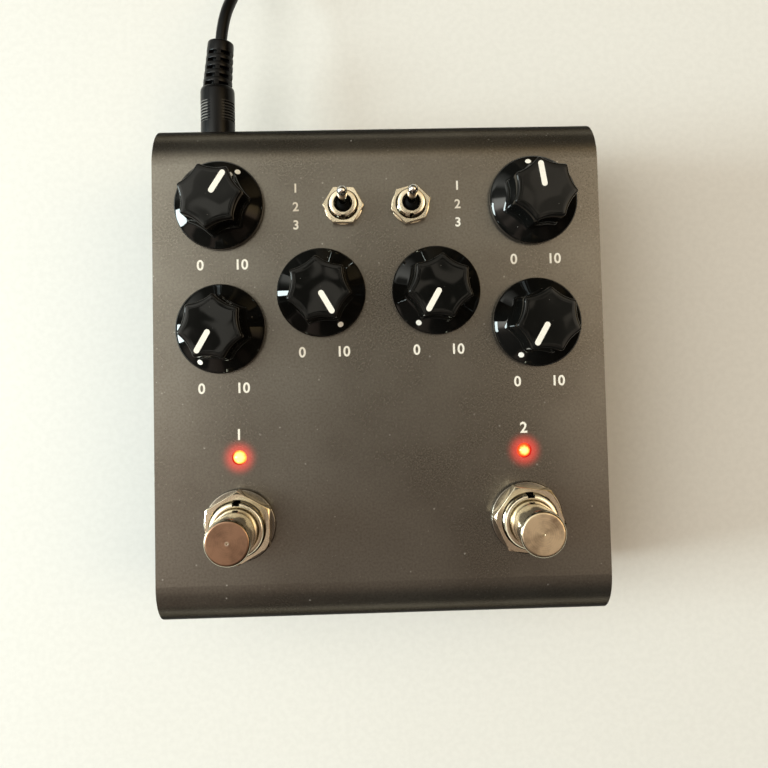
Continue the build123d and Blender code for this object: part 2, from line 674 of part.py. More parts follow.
def cord_path():
    """The free cord's middle line: straight runs with the widest arcs that they allow."""
    start = Vector(SUPPLY_PLACE, REAR_OUT, JACK_HEIGHT) + boot_end()
    points = [start + Vector(*step) for step in CORD_ROUTE]
    radii = []
    for a, b, c in zip(points, points[1:], points[2:]):
        turn = (b - a).get_angle(c - b)
        radii.append(CORD_ARC_SHARE * min((b - a).length, (c - b).length) / tan(radians(turn / 2)))
    print("cord radii", [round(radius, 1) for radius in radii])
    return FilletPolyline(*points, radius=radii), points


def cord_section(start, ahead):
    """The cord's round section, as a many-sided face square to its path."""
    return Plane(origin=start, z_dir=ahead) * RegularPolygon(CORD_DIAMETER / 2, CORD_SIDES)


def two_arcs(start, end, ahead, after):
    """Two tangent arcs that leave one point ahead and reach the next one going after."""
    span = end - start
    square = 2 * (1 - ahead.dot(after))
    linear = 2 * span.dot(ahead + after)
    reach = (sqrt(linear**2 + 4 * square * span.dot(span)) - linear) / (2 * square)
    turn = (end - after * reach) - (start + ahead * reach)
    middle = (start + ahead * reach) + turn * 0.5
    return [TangentArc(start, middle, tangent=ahead), TangentArc(middle, end, tangent=turn)]


def coil_stops(centre):
    """Where the cord crosses the coil's left and right: in below, up as it turns back, out above."""
    inner = COIL_RADIUS - COIL_HALF_TURNS * COIL_PITCH / 2
    reaches = [COIL_RADIUS - i * COIL_PITCH / 2 for i in range(COIL_HALF_TURNS + 1)]
    reaches += [inner - COIL_PITCH / 8]
    reaches += [inner + i * COIL_PITCH / 2 for i in range(1, COIL_HALF_TURNS - 1)]
    reaches += [COIL_RADIUS + COIL_PITCH]
    stops = []
    for i, reach in enumerate(reaches):
        layer = COIL_PITCH if i > COIL_HALF_TURNS else 0
        stops.append(centre + Vector(reach if i % 2 else -reach, 0, layer))
    return stops


def coil_path(entry):
    """One unbroken line through the piled loops, with a straight run at each end."""
    centre = entry + Vector(COIL_RADIUS, CORD_DIAMETER, 0)
    rear = Vector(0, 1, 0)
    right = Vector(1, 0, 0)
    stops = coil_stops(centre)
    edges = [Line(entry, stops[0])]
    for i, (a, b) in enumerate(zip(stops, stops[1:])):
        ahead = rear * -1 if i % 2 else rear
        edges += two_arcs(a, b, ahead, ahead * -1)
    turned = Vector(centre.X, centre.Y + COIL_RADIUS + COIL_LEAVE, PLUG_DIAMETER / 2)
    edges += two_arcs(stops[-1], turned, rear, right)
    leave = turned + right * CORD_DIAMETER
    edges.append(Line(turned, leave))
    return Wire(edges), centre, leave


def least_gap(path):
    """The least clear distance between the coil's own turns, measured on points."""
    count = ceil(path.length / (CORD_DIAMETER / 4))
    points = [path.position_at(i / count) for i in range(count + 1)]
    skip = ceil(2 * pi * CORD_DIAMETER / (CORD_DIAMETER / 4))
    gaps = [
        (a - b).length - CORD_DIAMETER
        for i, a in enumerate(points)
        for b in points[i + skip:]
    ]
    return min(gaps)


def cord_tie(centre):
    """A flat band round the coil's turns, on the side away from the cord."""
    far = COIL_RADIUS - COIL_PITCH / 2 + CORD_DIAMETER / 2 + SOFT_GAP
    near = COIL_RADIUS - COIL_HALF_TURNS * COIL_PITCH / 2 - CORD_DIAMETER / 2 - SOFT_GAP
    low = centre.Z - CORD_DIAMETER / 2 - SOFT_GAP
    high = centre.Z + COIL_PITCH + CORD_DIAMETER / 2 + SOFT_GAP
    x = centre.X + (near + far) / 2
    inside = block(x, centre.Y, far - near, TIE_WIDTH + OVERRUN, low, high)
    outside = block(x, centre.Y, far - near + 2 * TIE_SHEET, TIE_WIDTH, low - TIE_SHEET, high + TIE_SHEET)
    return fillet(outside.edges().filter_by(Axis.Y), TIE_SHEET) - inside


def build_case():
    """The case, its feet and its screws."""
    save("top_cover", top_cover())
    save("base_pan", base_pan())
    save("base_screws", *base_screws())
    save("rubber_feet", *rubber_feet())


def build_boards():
    """The two boards and what is soldered to them."""
    save("control_board", board(0, 2 * (REAR_IN - BOARD_END), BOARD_TOP))
    save("control_board_chips", *control_board_chips())
    save("jack_board", board(jack_board_middle(), JACK_BOARD_DEPTH, JACK_BOARD_TOP))
    save("jack_board_parts", *jack_board_parts())
    save("board_posts", *board_posts())
    save("board_header", board_header())


def build_knobs():
    """Each pot with its shaft and knob, and the nuts and washers that hold the pots."""
    nuts = []
    washers = []
    nut = hex_nut(POT_NUT_FLATS, POT_THREAD + 2 * RUN_FIT, POT_NUT_HEIGHT)
    ring = washer(POT_WASHER, POT_THREAD + 2 * SLIP_FIT, POT_WASHER_HEIGHT)
    for name, (x, y) in KNOB_PLACES.items():
        save(f"pot_{name}", potentiometer(x, y))
        save(f"shaft_{name}", pot_shaft(x, y, KNOB_TURNS[name]))
        save(f"knob_{name}", knob(x, y, KNOB_TURNS[name]))
        washers.append(Pos(x, y, CASE_TOP) * ring)
        nuts.append(Pos(x, y, CASE_TOP + POT_WASHER_HEIGHT) * nut)
    save("pot_washers", *washers)
    save("pot_nuts", *nuts)


def build_toggles():
    """Both toggles, their levers, nuts and washers."""
    nuts = []
    washers = []
    nut = hex_nut(TOGGLE_NUT_FLATS, TOGGLE_THREAD + 2 * RUN_FIT, TOGGLE_NUT_HEIGHT)
    ring = washer(TOGGLE_WASHER, TOGGLE_THREAD + 2 * SLIP_FIT, TOGGLE_WASHER_HEIGHT)
    for (name, side), turn in zip(SIDES.items(), TOGGLE_NUT_TURNS):
        x = side * TOGGLE_OFFSET
        save(f"toggle_switch_{name}", toggle_switch(x))
        save(f"toggle_lever_{name}", toggle_lever(x))
        washers.append(Pos(x, TOGGLE_ROW, CASE_TOP) * ring)
        nuts.append(Pos(x, TOGGLE_ROW, CASE_TOP + TOGGLE_WASHER_HEIGHT) * Rot(0, 0, turn) * nut)
    save("toggle_washers", *washers)
    save("toggle_nuts", *nuts)


def build_footswitches():
    """Both footswitches with plungers, springs, nuts and washers, and the lamps above them."""
    nuts = []
    washers = []
    nut = hex_nut(SWITCH_NUT_FLATS, SWITCH_THREAD + 2 * RUN_FIT, SWITCH_NUT_HEIGHT)
    ring = washer(SWITCH_WASHER, SWITCH_THREAD + 2 * SLIP_FIT, SWITCH_WASHER_HEIGHT)
    for (name, side), turn in zip(SIDES.items(), SWITCH_NUT_TURNS):
        x = side * LAMP_COLUMN
        save(f"footswitch_body_{name}", footswitch_body(x))
        save(f"footswitch_plunger_{name}", plunger(x))
        save(f"footswitch_spring_{name}", switch_spring(x))
        save(f"lamp_{name}", lamp(x))
        washers.append(Pos(x, SWITCH_ROW, CASE_TOP) * ring)
        nuts.append(Pos(x, SWITCH_ROW, CASE_TOP + SWITCH_WASHER_HEIGHT) * Rot(0, 0, turn) * nut)
    save("footswitch_washers", *washers)
    save("footswitch_nuts", *nuts)


def build_sockets():
    """The rear sockets with their washers and nuts."""
    nut = hex_nut(JACK_NUT_FLATS, JACK_THREAD + 2 * RUN_FIT, JACK_NUT_HEIGHT)
    ring = washer(JACK_WASHER, JACK_THREAD + 2 * SLIP_FIT, JACK_WASHER_HEIGHT)
    for name, x in JACK_PLACES.items():
        save(name, jack(x))
    save("jack_washers", *[rear_facing(ring, x, REAR_OUT) for x in JACK_PLACES.values()])
    save("jack_nuts", *[rear_facing(nut, x, REAR_OUT + JACK_WASHER_HEIGHT) for x in JACK_PLACES.values()])
    save("supply_jack", supply_jack())


def build_lead():
    """The supply lead: plug in its socket, free cord, tied coil and the far plug."""
    save("pedal_plug", Pos(SUPPLY_PLACE, REAR_OUT, JACK_HEIGHT) * barrel_plug())
    path, points = cord_path()
    tube = sweep(cord_section(points[0], points[1] - points[0]), path=path)
    print("cord length", round(path.length, 1), "volume per length", round(tube.volume / path.length, 3))
    save("supply_cord", tube)
    loops, centre, leave = coil_path(points[-1])
    coil = sweep(cord_section(points[-1], Vector(0, 1, 0)), path=loops)
    print("coil length", round(loops.length, 1), "volume per length", round(coil.volume / loops.length, 3))
    print("coil least gap", round(least_gap(loops), 2))
    save("cord_coil", coil)
    save("cord_tie", cord_tie(centre))
    far_plug = Rot(0, 0, 90 + BOOT_LEAN) * Pos(boot_end() * -1) * barrel_plug()
    save("far_plug", Pos(leave.X, leave.Y, leave.Z) * far_plug)


os.makedirs("parts", exist_ok=True)
build_case()
build_boards()
build_knobs()
build_toggles()
build_footswitches()
build_sockets()
build_lead()
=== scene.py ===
"""Dress a packed tape echo pedal: finer knobs, nuts, bushings, lead and print, with their finishes."""
from math import asin, cos, pi, radians, sin, sqrt, tan

import bpy
from mathutils import Euler, Matrix, Vector


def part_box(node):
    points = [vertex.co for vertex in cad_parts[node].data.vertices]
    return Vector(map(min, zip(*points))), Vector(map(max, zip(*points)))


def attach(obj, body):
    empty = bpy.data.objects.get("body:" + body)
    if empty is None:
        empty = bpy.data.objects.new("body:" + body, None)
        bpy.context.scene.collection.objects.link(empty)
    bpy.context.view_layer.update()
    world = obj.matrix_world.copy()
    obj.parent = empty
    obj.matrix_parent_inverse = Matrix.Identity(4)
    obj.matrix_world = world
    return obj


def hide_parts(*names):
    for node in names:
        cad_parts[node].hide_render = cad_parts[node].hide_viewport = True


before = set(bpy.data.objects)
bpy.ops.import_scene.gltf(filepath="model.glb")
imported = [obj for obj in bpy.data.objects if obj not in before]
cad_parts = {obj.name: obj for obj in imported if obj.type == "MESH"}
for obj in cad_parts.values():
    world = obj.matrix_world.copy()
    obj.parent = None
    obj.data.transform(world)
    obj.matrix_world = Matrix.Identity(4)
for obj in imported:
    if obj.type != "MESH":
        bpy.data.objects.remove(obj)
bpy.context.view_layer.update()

bl_info = {
    "name": "Tape Echo Pedal",
    "version": (1, 0, 0),
    "blender": (4, 5, 0),
    "location": "View3D > Sidebar > Echo Pedal",
    "description": "Dresses the packed solids of a compact tape echo pedal",
    "category": "Object",
}

MM = 0.001
SIDES = {"left": -1, "right": 1}
JACKS = ("input_jack", "expression_jack", "output_jack_left", "output_jack_right")

# Levels that the solids have, in millimetres
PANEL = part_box("top_cover")[1].z / MM
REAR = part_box("top_cover")[1].y / MM
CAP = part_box("footswitch_plunger_right")[1].z / MM
SHEET = 2.0

# How far each knob's pointer and each nut is turned, in degrees
KNOB_TURNS = {
    "top_left": 33,
    "top_right": -9,
    "mid_left": 150,
    "mid_right": -150,
    "low_left": -150,
    "low_right": -150,
}
TOGGLE_NUT_TURNS = {"left": -2, "right": 15}
SWITCH_NUT_TURNS = {"left": 30, "right": -7}

# Dust that settles on the pieces, then painted shade and a painted highlight, as linear colours
DUST = (0.4, 0.39, 0.36)
PALE_DUST = (0.55, 0.53, 0.5)
CREVICE_SHADE = (0.03, 0.026, 0.02)
BALL_SHADE = (0.004, 0.004, 0.004)
RIB_HIGHLIGHT = (0.4, 0.39, 0.37)


def linear(red, green, blue):
    """A screen colour, as the linear values that a shader takes."""
    shares = (red / 255, green / 255, blue / 255)
    return tuple(s / 12.92 if s <= 0.04045 else ((s + 0.055) / 1.055) ** 2.4 for s in shares)


def dimmed(tint, by):
    """A colour at this share of its brightness."""
    return tuple(by * value for value in tint)


def middle(node):
    """Where a CAD node's middle lies in plan, in millimetres."""
    low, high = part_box(node)
    return (low.x + high.x) / 2 / MM, (low.y + high.y) / 2 / MM


def below(node):
    """How far down a CAD node goes, from the panel."""
    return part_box(node)[0].z / MM - PANEL


def length(title, about, value):
    """A setting in millimetres, kept in metres."""
    return bpy.props.FloatProperty(name=title, description=about, default=value * MM, unit="LENGTH")


def colour(title, about, *screen):
    """A colour setting, given as it looks on a screen."""
    return bpy.props.FloatVectorProperty(
        name=title, description=about, default=linear(*screen), size=3, subtype="COLOR", min=0, max=1
    )


def share(title, about, value):
    """A setting from nothing to all."""
    return bpy.props.FloatProperty(
        name=title, description=about, default=value, min=0, max=1, subtype="FACTOR"
    )


class CaseSettings(bpy.types.PropertyGroup):
    """The folded case."""

    coat: colour("Coat", "Anodised coat of the cover", 126, 122, 114)
    shade: colour("Shade", "Darker clouds in the coat", 116, 111, 103)
    dust: share("Dust", "How pale the dust on the cover is", 0.5)
    speckle: share("Speckle", "How dark the fine grain of the coat is", 0.26)


class KnobSettings(bpy.types.PropertyGroup):
    """The six fluted knobs."""

    plastic: colour("Plastic", "Moulded knob", 14, 14, 13)
    mark: colour("Mark", "Pointer line and dot", 246, 243, 235)
    pointer_width: length("Pointer width", "Width of the pointer line", 1.2)
    pointer_reach: length("Pointer reach", "How far out the pointer line goes", 6.1)
    dot: length("Dot", "Diameter of the dot on the skirt", 1.3)


class MetalSettings(bpy.types.PropertyGroup):
    """Nuts, washers, bushings and buttons."""

    nickel: colour("Nickel", "Plated nuts and bushings", 244, 233, 207)
    steel: colour("Steel", "Washers and screws", 132, 126, 116)
    cap: colour("Cap", "Right footswitch button", 240, 222, 190)
    worn: colour("Worn cap", "Left footswitch button, worn darker", 160, 127, 104)
    chrome: colour("Chrome", "Toggle levers", 222, 220, 214)


class LampSettings(bpy.types.PropertyGroup):
    """The two lit lamps."""

    core: colour("Core", "Middle of a lit lens", 255, 236, 140)
    rim: colour("Rim", "Edge of a lit lens", 255, 70, 24)
    glow: colour("Glow", "Light that a lamp throws on the cover", 255, 44, 36)
    spread: length("Spread", "How far the glow reaches", 5.6)


class PrintSettings(bpy.types.PropertyGroup):
    """The plain numbers on the cover."""

    ink: colour("Ink", "Printed numbers", 242, 238, 228)
    tall: length("Height", "Height of a number", 2.3)
    spread: length("Spread", "Half the distance between a dial's two numbers", 4.6)


class LeadSettings(bpy.types.PropertyGroup):
    """The supply lead."""

    moulding: colour("Moulding", "Plug and jacket", 11, 11, 12)
    diameter: length("Diameter", "The cord's diameter", 3.1)
    length: length("Length", "The cord's whole length between its plugs", 534.0)


class StageSettings(bpy.types.PropertyGroup):
    """Table, backdrop and light."""

    table: colour("Table", "Pale table", 230, 231, 229)
    backdrop: colour("Backdrop", "What the camera sees past the table", 226, 219, 203)
    window: bpy.props.FloatProperty(
        name="Window", description="Power of the side light", default=13.0, min=0, unit="POWER"
    )
    room: bpy.props.FloatProperty(
        name="Room", description="Strength of the soft light overhead", default=1.28, min=0
    )


def operation(kind, swapped=False):
    """A method of a field that adds one Math node for itself and another value."""

    def method(self, other):
        values = (other, self) if swapped else (self, other)
        return self.finish.math(kind, *values)

    return method


class Field:
    """A node's output, with arithmetic that adds Math nodes."""

    def __init__(self, finish, socket):
        self.finish = finish
        self.socket = socket

    __add__ = operation("ADD")
    __radd__ = operation("ADD", swapped=True)
    __sub__ = operation("SUBTRACT")
    __rsub__ = operation("SUBTRACT", swapped=True)
    __mul__ = operation("MULTIPLY")
    __rmul__ = operation("MULTIPLY", swapped=True)
    __truediv__ = operation("DIVIDE")
    __rtruediv__ = operation("DIVIDE", swapped=True)
    __pow__ = operation("POWER")

    def __abs__(self):
        return self.finish.math("ABSOLUTE", self)


class Finish:
    """A material or world in the making: its node tree and the nodes that go into it."""

    def __init__(self, owner, shader):
        owner.use_nodes = True
        self.owner = owner
        self.tree = owner.node_tree
        self.shader = self.tree.nodes[shader]
        self.coords = {}

    def node(self, kind, sockets, out=0, **settings):
        """Add a node, set it, fill or join its sockets and hand back one output."""
        made = self.tree.nodes.new(kind)
        for key, value in settings.items():
            setattr(made, key, value)
        for key, value in sockets.items():
            self.join(made.inputs[key], value)
        return Field(self, made.outputs[out])

    def join(self, socket, value):
        """Link a field to a socket, or set a plain value on it."""
        if isinstance(value, Field):
            self.tree.links.new(value.socket, socket)
        elif socket.type == "RGBA" and len(value) == 3:
            socket.default_value = (*value, 1)
        else:
            socket.default_value = value

    def feed(self, **sockets):
        """Fill the shader's own sockets, named with _ for a space."""
        for key, value in sockets.items():
            self.join(self.shader.inputs[key.replace("_", " ")], value)

    def math(self, kind, *values):
        return self.node("ShaderNodeMath", dict(enumerate(values)), operation=kind)

    def wave(self, value, pitch):
        """A sine wave of this pitch."""
        return self.math("SINE", value * (2 * pi / pitch))

    def place(self, out="Object"):
        """Where a point of the surface lies, in the piece's own frame."""
        if out not in self.coords:
            self.coords[out] = self.node("ShaderNodeTexCoord", {}, out)
        return self.coords[out]

    def axes(self, out="Object"):
        """The three numbers of that place."""
        parts = self.node("ShaderNodeSeparateXYZ", {0: self.place(out)}).socket.node
        return [Field(self, socket) for socket in parts.outputs]

    def noise(self, size, detail=2.0, where=None):
        """Soft random tone with features of about this size, in millimetres on a surface."""
        sockets = {"Vector": where or self.place(), "Scale": 1 / (size * MM), "Detail": detail}
        return self.node("ShaderNodeTexNoise", sockets)

    def specks(self, spacing, radius):
        """Small round spots, one in each cell of this spacing in millimetres."""
        sockets = {"Vector": self.place(), "Scale": 1 / (spacing * MM)}
        near = self.node("ShaderNodeTexVoronoi", sockets, "Distance")
        return self.ease(near, radius / spacing, 0.55 * radius / spacing)

    def ease(self, value, low, high):
        """Nothing at low, full at high, with a soft step between them."""
        sockets = {"Value": value, "From Min": low, "From Max": high}
        return self.node("ShaderNodeMapRange", sockets, interpolation_type="SMOOTHSTEP")

    def mix(self, factor, first, second):
        """A colour between two others, from the node's colour sockets."""
        return self.node("ShaderNodeMix", {0: factor, 6: first, 7: second}, 2, data_type="RGBA")

    def bump(self, height, depth):
        """A normal that follows a height field of this depth in millimetres."""
        return self.node("ShaderNodeBump", {"Height": height, "Distance": depth * MM})


def new_finish(name):
    """A new surface finish."""
    return Finish(bpy.data.materials.new(name), "Principled BSDF")


def pair_distance(made, node):
    """How far a point lies in plan from a right node's middle or its mirror image, and its height."""
    x, y = middle(node)
    across, along, up = made.axes()
    aside = abs(across) - abs(x) * MM
    ahead = along - y * MM
    return (aside * aside + ahead * ahead) ** 0.5, up


def film(made, pale, thin):
    """Clouds of uneven gloss, dust, and how far both pale a surface."""
    cloud = made.noise(3.5, 3)
    dust = made.specks(1.7, 0.11) * made.ease(made.noise(2.6), 0.55, 0.62) * pale
    return cloud, dust, dust + made.ease(cloud, 0.5, 0.75) * thin


def anodised_case(case, lamps):
    """Warm grey anodised sheet with fine grain, faint clouds, dust, painted shade on its bends and the
    lamps' glow painted on as emission.
    """
    made = new_finish("case_metal")
    grain = made.noise(0.5, 1)
    cloud = made.noise(26, 4)
    dust = made.specks(2.9, 0.25) * made.ease(made.noise(4.3), 0.48, 0.56)
    lint = made.specks(1.3, 0.17) * made.ease(made.noise(1.9), 0.48, 0.58) * 0.45
    away, up = pair_distance(made, "lamp_right")
    lit = made.ease(up, (PANEL - 3) * MM, (PANEL - 2) * MM)
    fleck = (dust + lint) * case.dust * (0.1 + lit * 0.9)
    tone = made.mix(made.ease(cloud, 0.35, 0.65), case.shade, case.coat)
    dark = dimmed(case.shade, 0.3)
    # Painted shade: the coat darkens below the flat top, down the bends and walls that turn away from the
    # light
    bend_shade = made.ease(up, (PANEL - 0.1) * MM, (PANEL - 5) * MM)
    tone = made.mix(made.ease(grain, 0.3, 0.75) * case.speckle, tone, dark)
    tone = made.mix(bend_shade * 0.6, tone, dark)
    # Painted light: the lamps' red spill on the cover, as emission
    glow = made.ease(away, lamps.spread, 1.7 * MM) ** 3.0 * lit
    made.feed(
        Base_Color=made.mix(fleck, tone, PALE_DUST),
        Metallic=0.9 - fleck * 0.8,
        Roughness=0.24 + grain * 0.03 + cloud * 0.05,
        Normal=made.bump(grain, 0.0003),
        Emission_Color=made.mix(glow, (0, 0, 0), lamps.glow),
        Emission_Strength=0.6,
        Specular_Tint=(0.08, 0.075, 0.07),
    )


def plated(name, tint, rough, wear=0.3, seats=()):
    """Plated metal with soft tarnish, fine scratches, uneven gloss and painted shade in the crevice round
    its seats.
    """
    made = new_finish(name)
    tarnish = made.noise(2.4, 3)
    scratch = made.noise(0.09, 1)
    tone = made.mix(made.ease(tarnish, 0.42, 0.72) * wear, tint, dimmed(tint, 0.55))
    for node, radius in seats:
        away, _ = pair_distance(made, node)
        # Painted shade: a dark ring in the crevice where a nut meets its bushing
        crevice_shade = made.ease(abs(away - radius * MM), 0.2 * MM, 0.08 * MM)
        tone = made.mix(crevice_shade * 0.85, tone, CREVICE_SHADE)
    made.feed(
        Base_Color=tone,
        Metallic=1.0,
        Roughness=rough + tarnish * 0.1 + scratch * 0.06,
        Normal=made.bump(scratch, 0.0025),
    )


def moulded(name, tint, rough, grain, depth, pale=0.0, thin=0.02, gloss=0.3):
    """Moulded plastic or rubber with a fine grain, uneven gloss, a thin film and a little dust."""
    made = new_finish(name)
    cloud, dust, paled = film(made, pale, thin)
    made.feed(
        Base_Color=made.mix(paled, tint, DUST),
        Roughness=rough + cloud * 0.08 + dust * 0.4,
        Normal=made.bump(made.noise(grain, 2), depth),
        Specular_IOR_Level=gloss,
    )


def knob_plastic(tint):
    """Polished black moulding with a glossier skirt, a thin film and a little dust."""
    made = new_finish("knob_plastic")
    _, _, up = made.axes()
    cloud, dust, paled = film(made, 0.6, 0.003)
    made.feed(
        Base_Color=made.mix(paled, tint, DUST),
        Roughness=0.015 + cloud * 0.03 + dust * 0.4,
        Coat_Weight=made.ease(up, 7 * MM, 5 * MM) * 0.6,
        Coat_Roughness=0.03,
        Normal=made.bump(made.noise(6, 0), 0.05),
        Specular_IOR_Level=0.22,
    )


def plug_moulding(tint):
    """Black moulding whose grip ribs at the pedal carry a painted highlight, strongest at their left,
    where the light comes from.
    """
    made = new_finish("plug_moulding")
    across, along, _ = made.axes()
    lead = ECHO_OT_lead
    aside = across / MM - middle("supply_jack")[0]
    reach = along / MM - REAR - lead.GROOVE_FIRST
    last = lead.GROOVES * lead.GROOVE_PITCH
    grip = made.ease(reach, -0.2, 0) * made.ease(reach, last, last - 0.3)
    # Painted highlight: the ribs are paled where the side light falls, strongest at the left and faint at
    # the right
    worn = made.ease(aside, -1.6, -2.1) * 0.4 + made.ease(aside, 1.6, 2.1) * 0.1
    rib_highlight = grip * worn * made.ease(made.wave(reach, lead.GROOVE_PITCH), 0.2, -0.5)
    cloud = made.noise(3.5, 3)
    made.feed(
        Base_Color=made.mix(rib_highlight + made.ease(cloud, 0.5, 0.75) * 0.004, tint, RIB_HIGHLIGHT),
        Roughness=0.24 + cloud * 0.1,
        Normal=made.bump(cloud, 0.003),
        Specular_IOR_Level=0.18,
    )


def laminate():
    """Solder-masked board with a woven ground and faint tracks."""
    made = new_finish("board_laminate")
    across, along, _ = made.axes()
    weave = made.wave(across, 0.6 * MM) * made.wave(along, 0.6 * MM)
    track = made.ease(made.wave(across + along * 0.2, 2.54 * MM), 0.75, 0.85)
    patch = made.ease(made.noise(9), 0.46, 0.56)
    made.feed(
        Base_Color=made.mix(track * patch * 0.6, linear(20, 62, 38), linear(62, 118, 70)),
        Roughness=0.38 + weave * 0.04,
        Normal=made.bump(weave * 0.3 + track * patch, 0.02),
    )


def lit_lens(lamps):
    """A lit lens: pale hot middle, orange body and red rim."""
    made = new_finish("lamp_lens")
    away, _ = pair_distance(made, "lamp_right")
    across, _, _ = made.axes()
    patch = (made.noise(0.5, 1) * 0.5 + made.ease(across, -MM, MM) * 0.4) * MM
    warm = made.mix(made.ease(away + patch, 1.5 * MM, 2.0 * MM), (1.0, 0.42, 0.05), lamps.rim)
    made.feed(
        Base_Color=(0.5, 0.04, 0.02),
        Roughness=0.2,
        Emission_Color=made.mix(made.ease(away + patch, 1.75 * MM, 0.95 * MM), warm, lamps.core),
        Emission_Strength=1.6,
    )


def turned_cap(metal):
    """A footswitch button: turned rings and a painted sheen on its end, fine scratches on its side, which
    is painted darker as shade.
    """
    made = new_finish("plunger_plate")
    x, y = middle("footswitch_plunger_right")
    away, up = pair_distance(made, "footswitch_plunger_right")
    across, along, _ = made.axes()
    # Painted sheen: lighter and darker wedges that turn with the angle round the middle
    sheen = (abs(across) - x * MM) * (along - y * MM) / (away * away + 1e-9)
    rings = made.noise(0.1, 2, made.node("ShaderNodeCombineXYZ", {"X": away}))
    smear = made.noise(1.6, 3)
    top = made.ease(up, (CAP - 0.15) * MM, (CAP - 0.05) * MM)
    right = made.ease(across, -MM, MM)
    tint = made.mix(right, metal.worn, metal.cap)
    rings_and_sheen = 0.22 + sheen * 0.5 + (rings - 0.5) * 1.2 + (smear - 0.5) * 1.2
    rings_and_sheen = made.mix(rings_and_sheen, tint, dimmed(metal.worn, 0.4))
    mark = made.ease(away, 0.6 * MM, 0.2 * MM) * (1 - right) * 0.7
    face = made.mix(mark, rings_and_sheen, (0.75, 0.66, 0.55))
    # Painted shade: the side is a dim nickel, darker than the end
    made.feed(
        Base_Color=made.mix(top, dimmed(metal.nickel, 0.5), face),
        Metallic=1.0,
        Roughness=0.06 + top * 0.2 + smear * 0.1,
        Normal=made.bump(rings * top + smear * 0.4, 0.006),
    )


def bat_lever(metal):
    """A chromed lever whose ball in the bushing is painted black and rough as shade, and which is darker
    towards the pivot.
    """
    made = new_finish("lever_plate")
    away, up = pair_distance(made, "toggle_switch_right")
    drop = up - (PANEL + ECHO_OT_toggles.BALL) * MM
    reach = (away * away + drop * drop) ** 0.5
    # Painted shade: the ball down in the bushing is black and rough
    ball_shade = made.ease(reach, 2.3 * MM, 1.95 * MM)
    # Darker towards the pivot
    pivot_darkening = made.ease(reach, 6.2 * MM, 2.4 * MM)
    smear = made.noise(0.9, 3)
    bright = made.mix(pivot_darkening, metal.chrome, dimmed(metal.chrome, 0.12))
    made.feed(
        Base_Color=made.mix(ball_shade, bright, BALL_SHADE),
        Metallic=1 - ball_shade * 0.2,
        Roughness=0.07 + ball_shade * 0.6 + smear * 0.08,
        Normal=made.bump(smear, 0.002),
    )


def printed(name, ink):
    """Flat screen ink with a slightly broken edge tone."""
    made = new_finish(name)
    thin = made.noise(0.35, 3)
    tone = made.mix(made.ease(thin, 0.5, 0.8), ink, dimmed(ink, 0.78))
    made.feed(Base_Color=tone, Roughness=0.5 + thin * 0.2)


def ridged_spring():
    """The spring's sleeve, with the wire's turns in relief and painted shade in the gaps between them."""
    made = new_finish("spring_steel")
    _, _, up = made.axes()
    turns = made.wave(up, 1.1 * MM)
    # Painted shade: nearly black in the gaps between the turns
    made.feed(
        Base_Color=made.mix(made.ease(turns, -0.6, 0.4), (0.05, 0.05, 0.05), (0.5, 0.49, 0.46)),
        Metallic=1.0,
        Roughness=0.3 + made.noise(0.4) * 0.2,
        Normal=made.bump(turns, 0.2),
    )


def pale_table(tint):
    """Painted table top with faint mottle and pores."""
    made = new_finish("pale_table")
    pores = made.noise(1.3, 2)
    mottle = made.noise(60, 3) * 0.4 + made.ease(made.noise(1.6, 2), 0.3, 0.7) * 0.6
    made.feed(
        Base_Color=made.mix(mottle, tint, dimmed(tint, 0.94)),
        Roughness=0.55 + pores * 0.1,
        Normal=made.bump(pores, 0.02),
    )


def finishes(scene):
    """Make every finish, named for its slot in the record, with washers, ink and marks beside them."""
    metal = scene.echo_metal
    jacket = scene.echo_lead.moulding
    # Nodes and radii where painted shade rings the crevice between a nut and its bushing
    seats = (("toggle_switch_right", 3.3), ("footswitch_body_right", 6.15))
    anodised_case(scene.echo_case, scene.echo_lamps)
    plated("screw_steel", metal.steel, rough=0.26)
    plated("washer_steel", metal.steel, rough=0.14, wear=0.5)
    plated("can_metal", linear(196, 198, 200), rough=0.3)
    plated("post_brass", linear(214, 186, 120), rough=0.28)
    plated("pot_case", linear(150, 150, 146), rough=0.36)
    plated("shaft_metal", linear(190, 188, 182), rough=0.28)
    plated("nut_plate", metal.nickel, rough=0.06, seats=seats)
    plated("toggle_metal", metal.nickel, rough=0.08, wear=0.5)
    plated("switch_metal", metal.nickel, rough=0.08, wear=0.5)
    plated("jack_ring", metal.nickel, rough=0.2, wear=0.4)
    moulded("foot_rubber", linear(24, 24, 24), rough=0.62, grain=0.25, depth=0.03, pale=0.4)
    moulded("chip_resin", linear(26, 26, 27), rough=0.5, grain=0.12, depth=0.01)
    moulded("jack_plastic", linear(22, 22, 22), rough=0.34, grain=0.2, depth=0.008, pale=0.2)
    moulded("cord_jacket", jacket, rough=0.3, grain=0.4, depth=0.006, pale=0.2, thin=0.004, gloss=0.2)
    moulded("tie_band", linear(40, 40, 40), rough=0.5, grain=0.2, depth=0.02, pale=0.3)
    knob_plastic(scene.echo_knobs.plastic)
    plug_moulding(jacket)
    laminate()
    bat_lever(metal)
    turned_cap(metal)
    ridged_spring()
    lit_lens(scene.echo_lamps)
    pale_table(scene.echo_stage.table)
    printed("mark_paint", scene.echo_knobs.mark)
    printed("panel_ink", scene.echo_print.ink)


def finish_named(name):
    """One finish, made on first use with all the others in place of the frame's plain ones."""
    if "panel_ink" not in bpy.data.materials:
        for plain in list(bpy.data.materials):
            bpy.data.materials.remove(plain)
        finishes(bpy.context.scene)
    return bpy.data.materials[name]


def paint(name, *nodes):
    """Give CAD nodes a finish."""
    for node in nodes:
        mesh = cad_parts[node].data
        mesh.materials.clear()
        mesh.materials.append(finish_named(name))


def apart(first, second):
    """The angle between two directions."""
    return abs((first - second + pi) % (2 * pi) - pi)


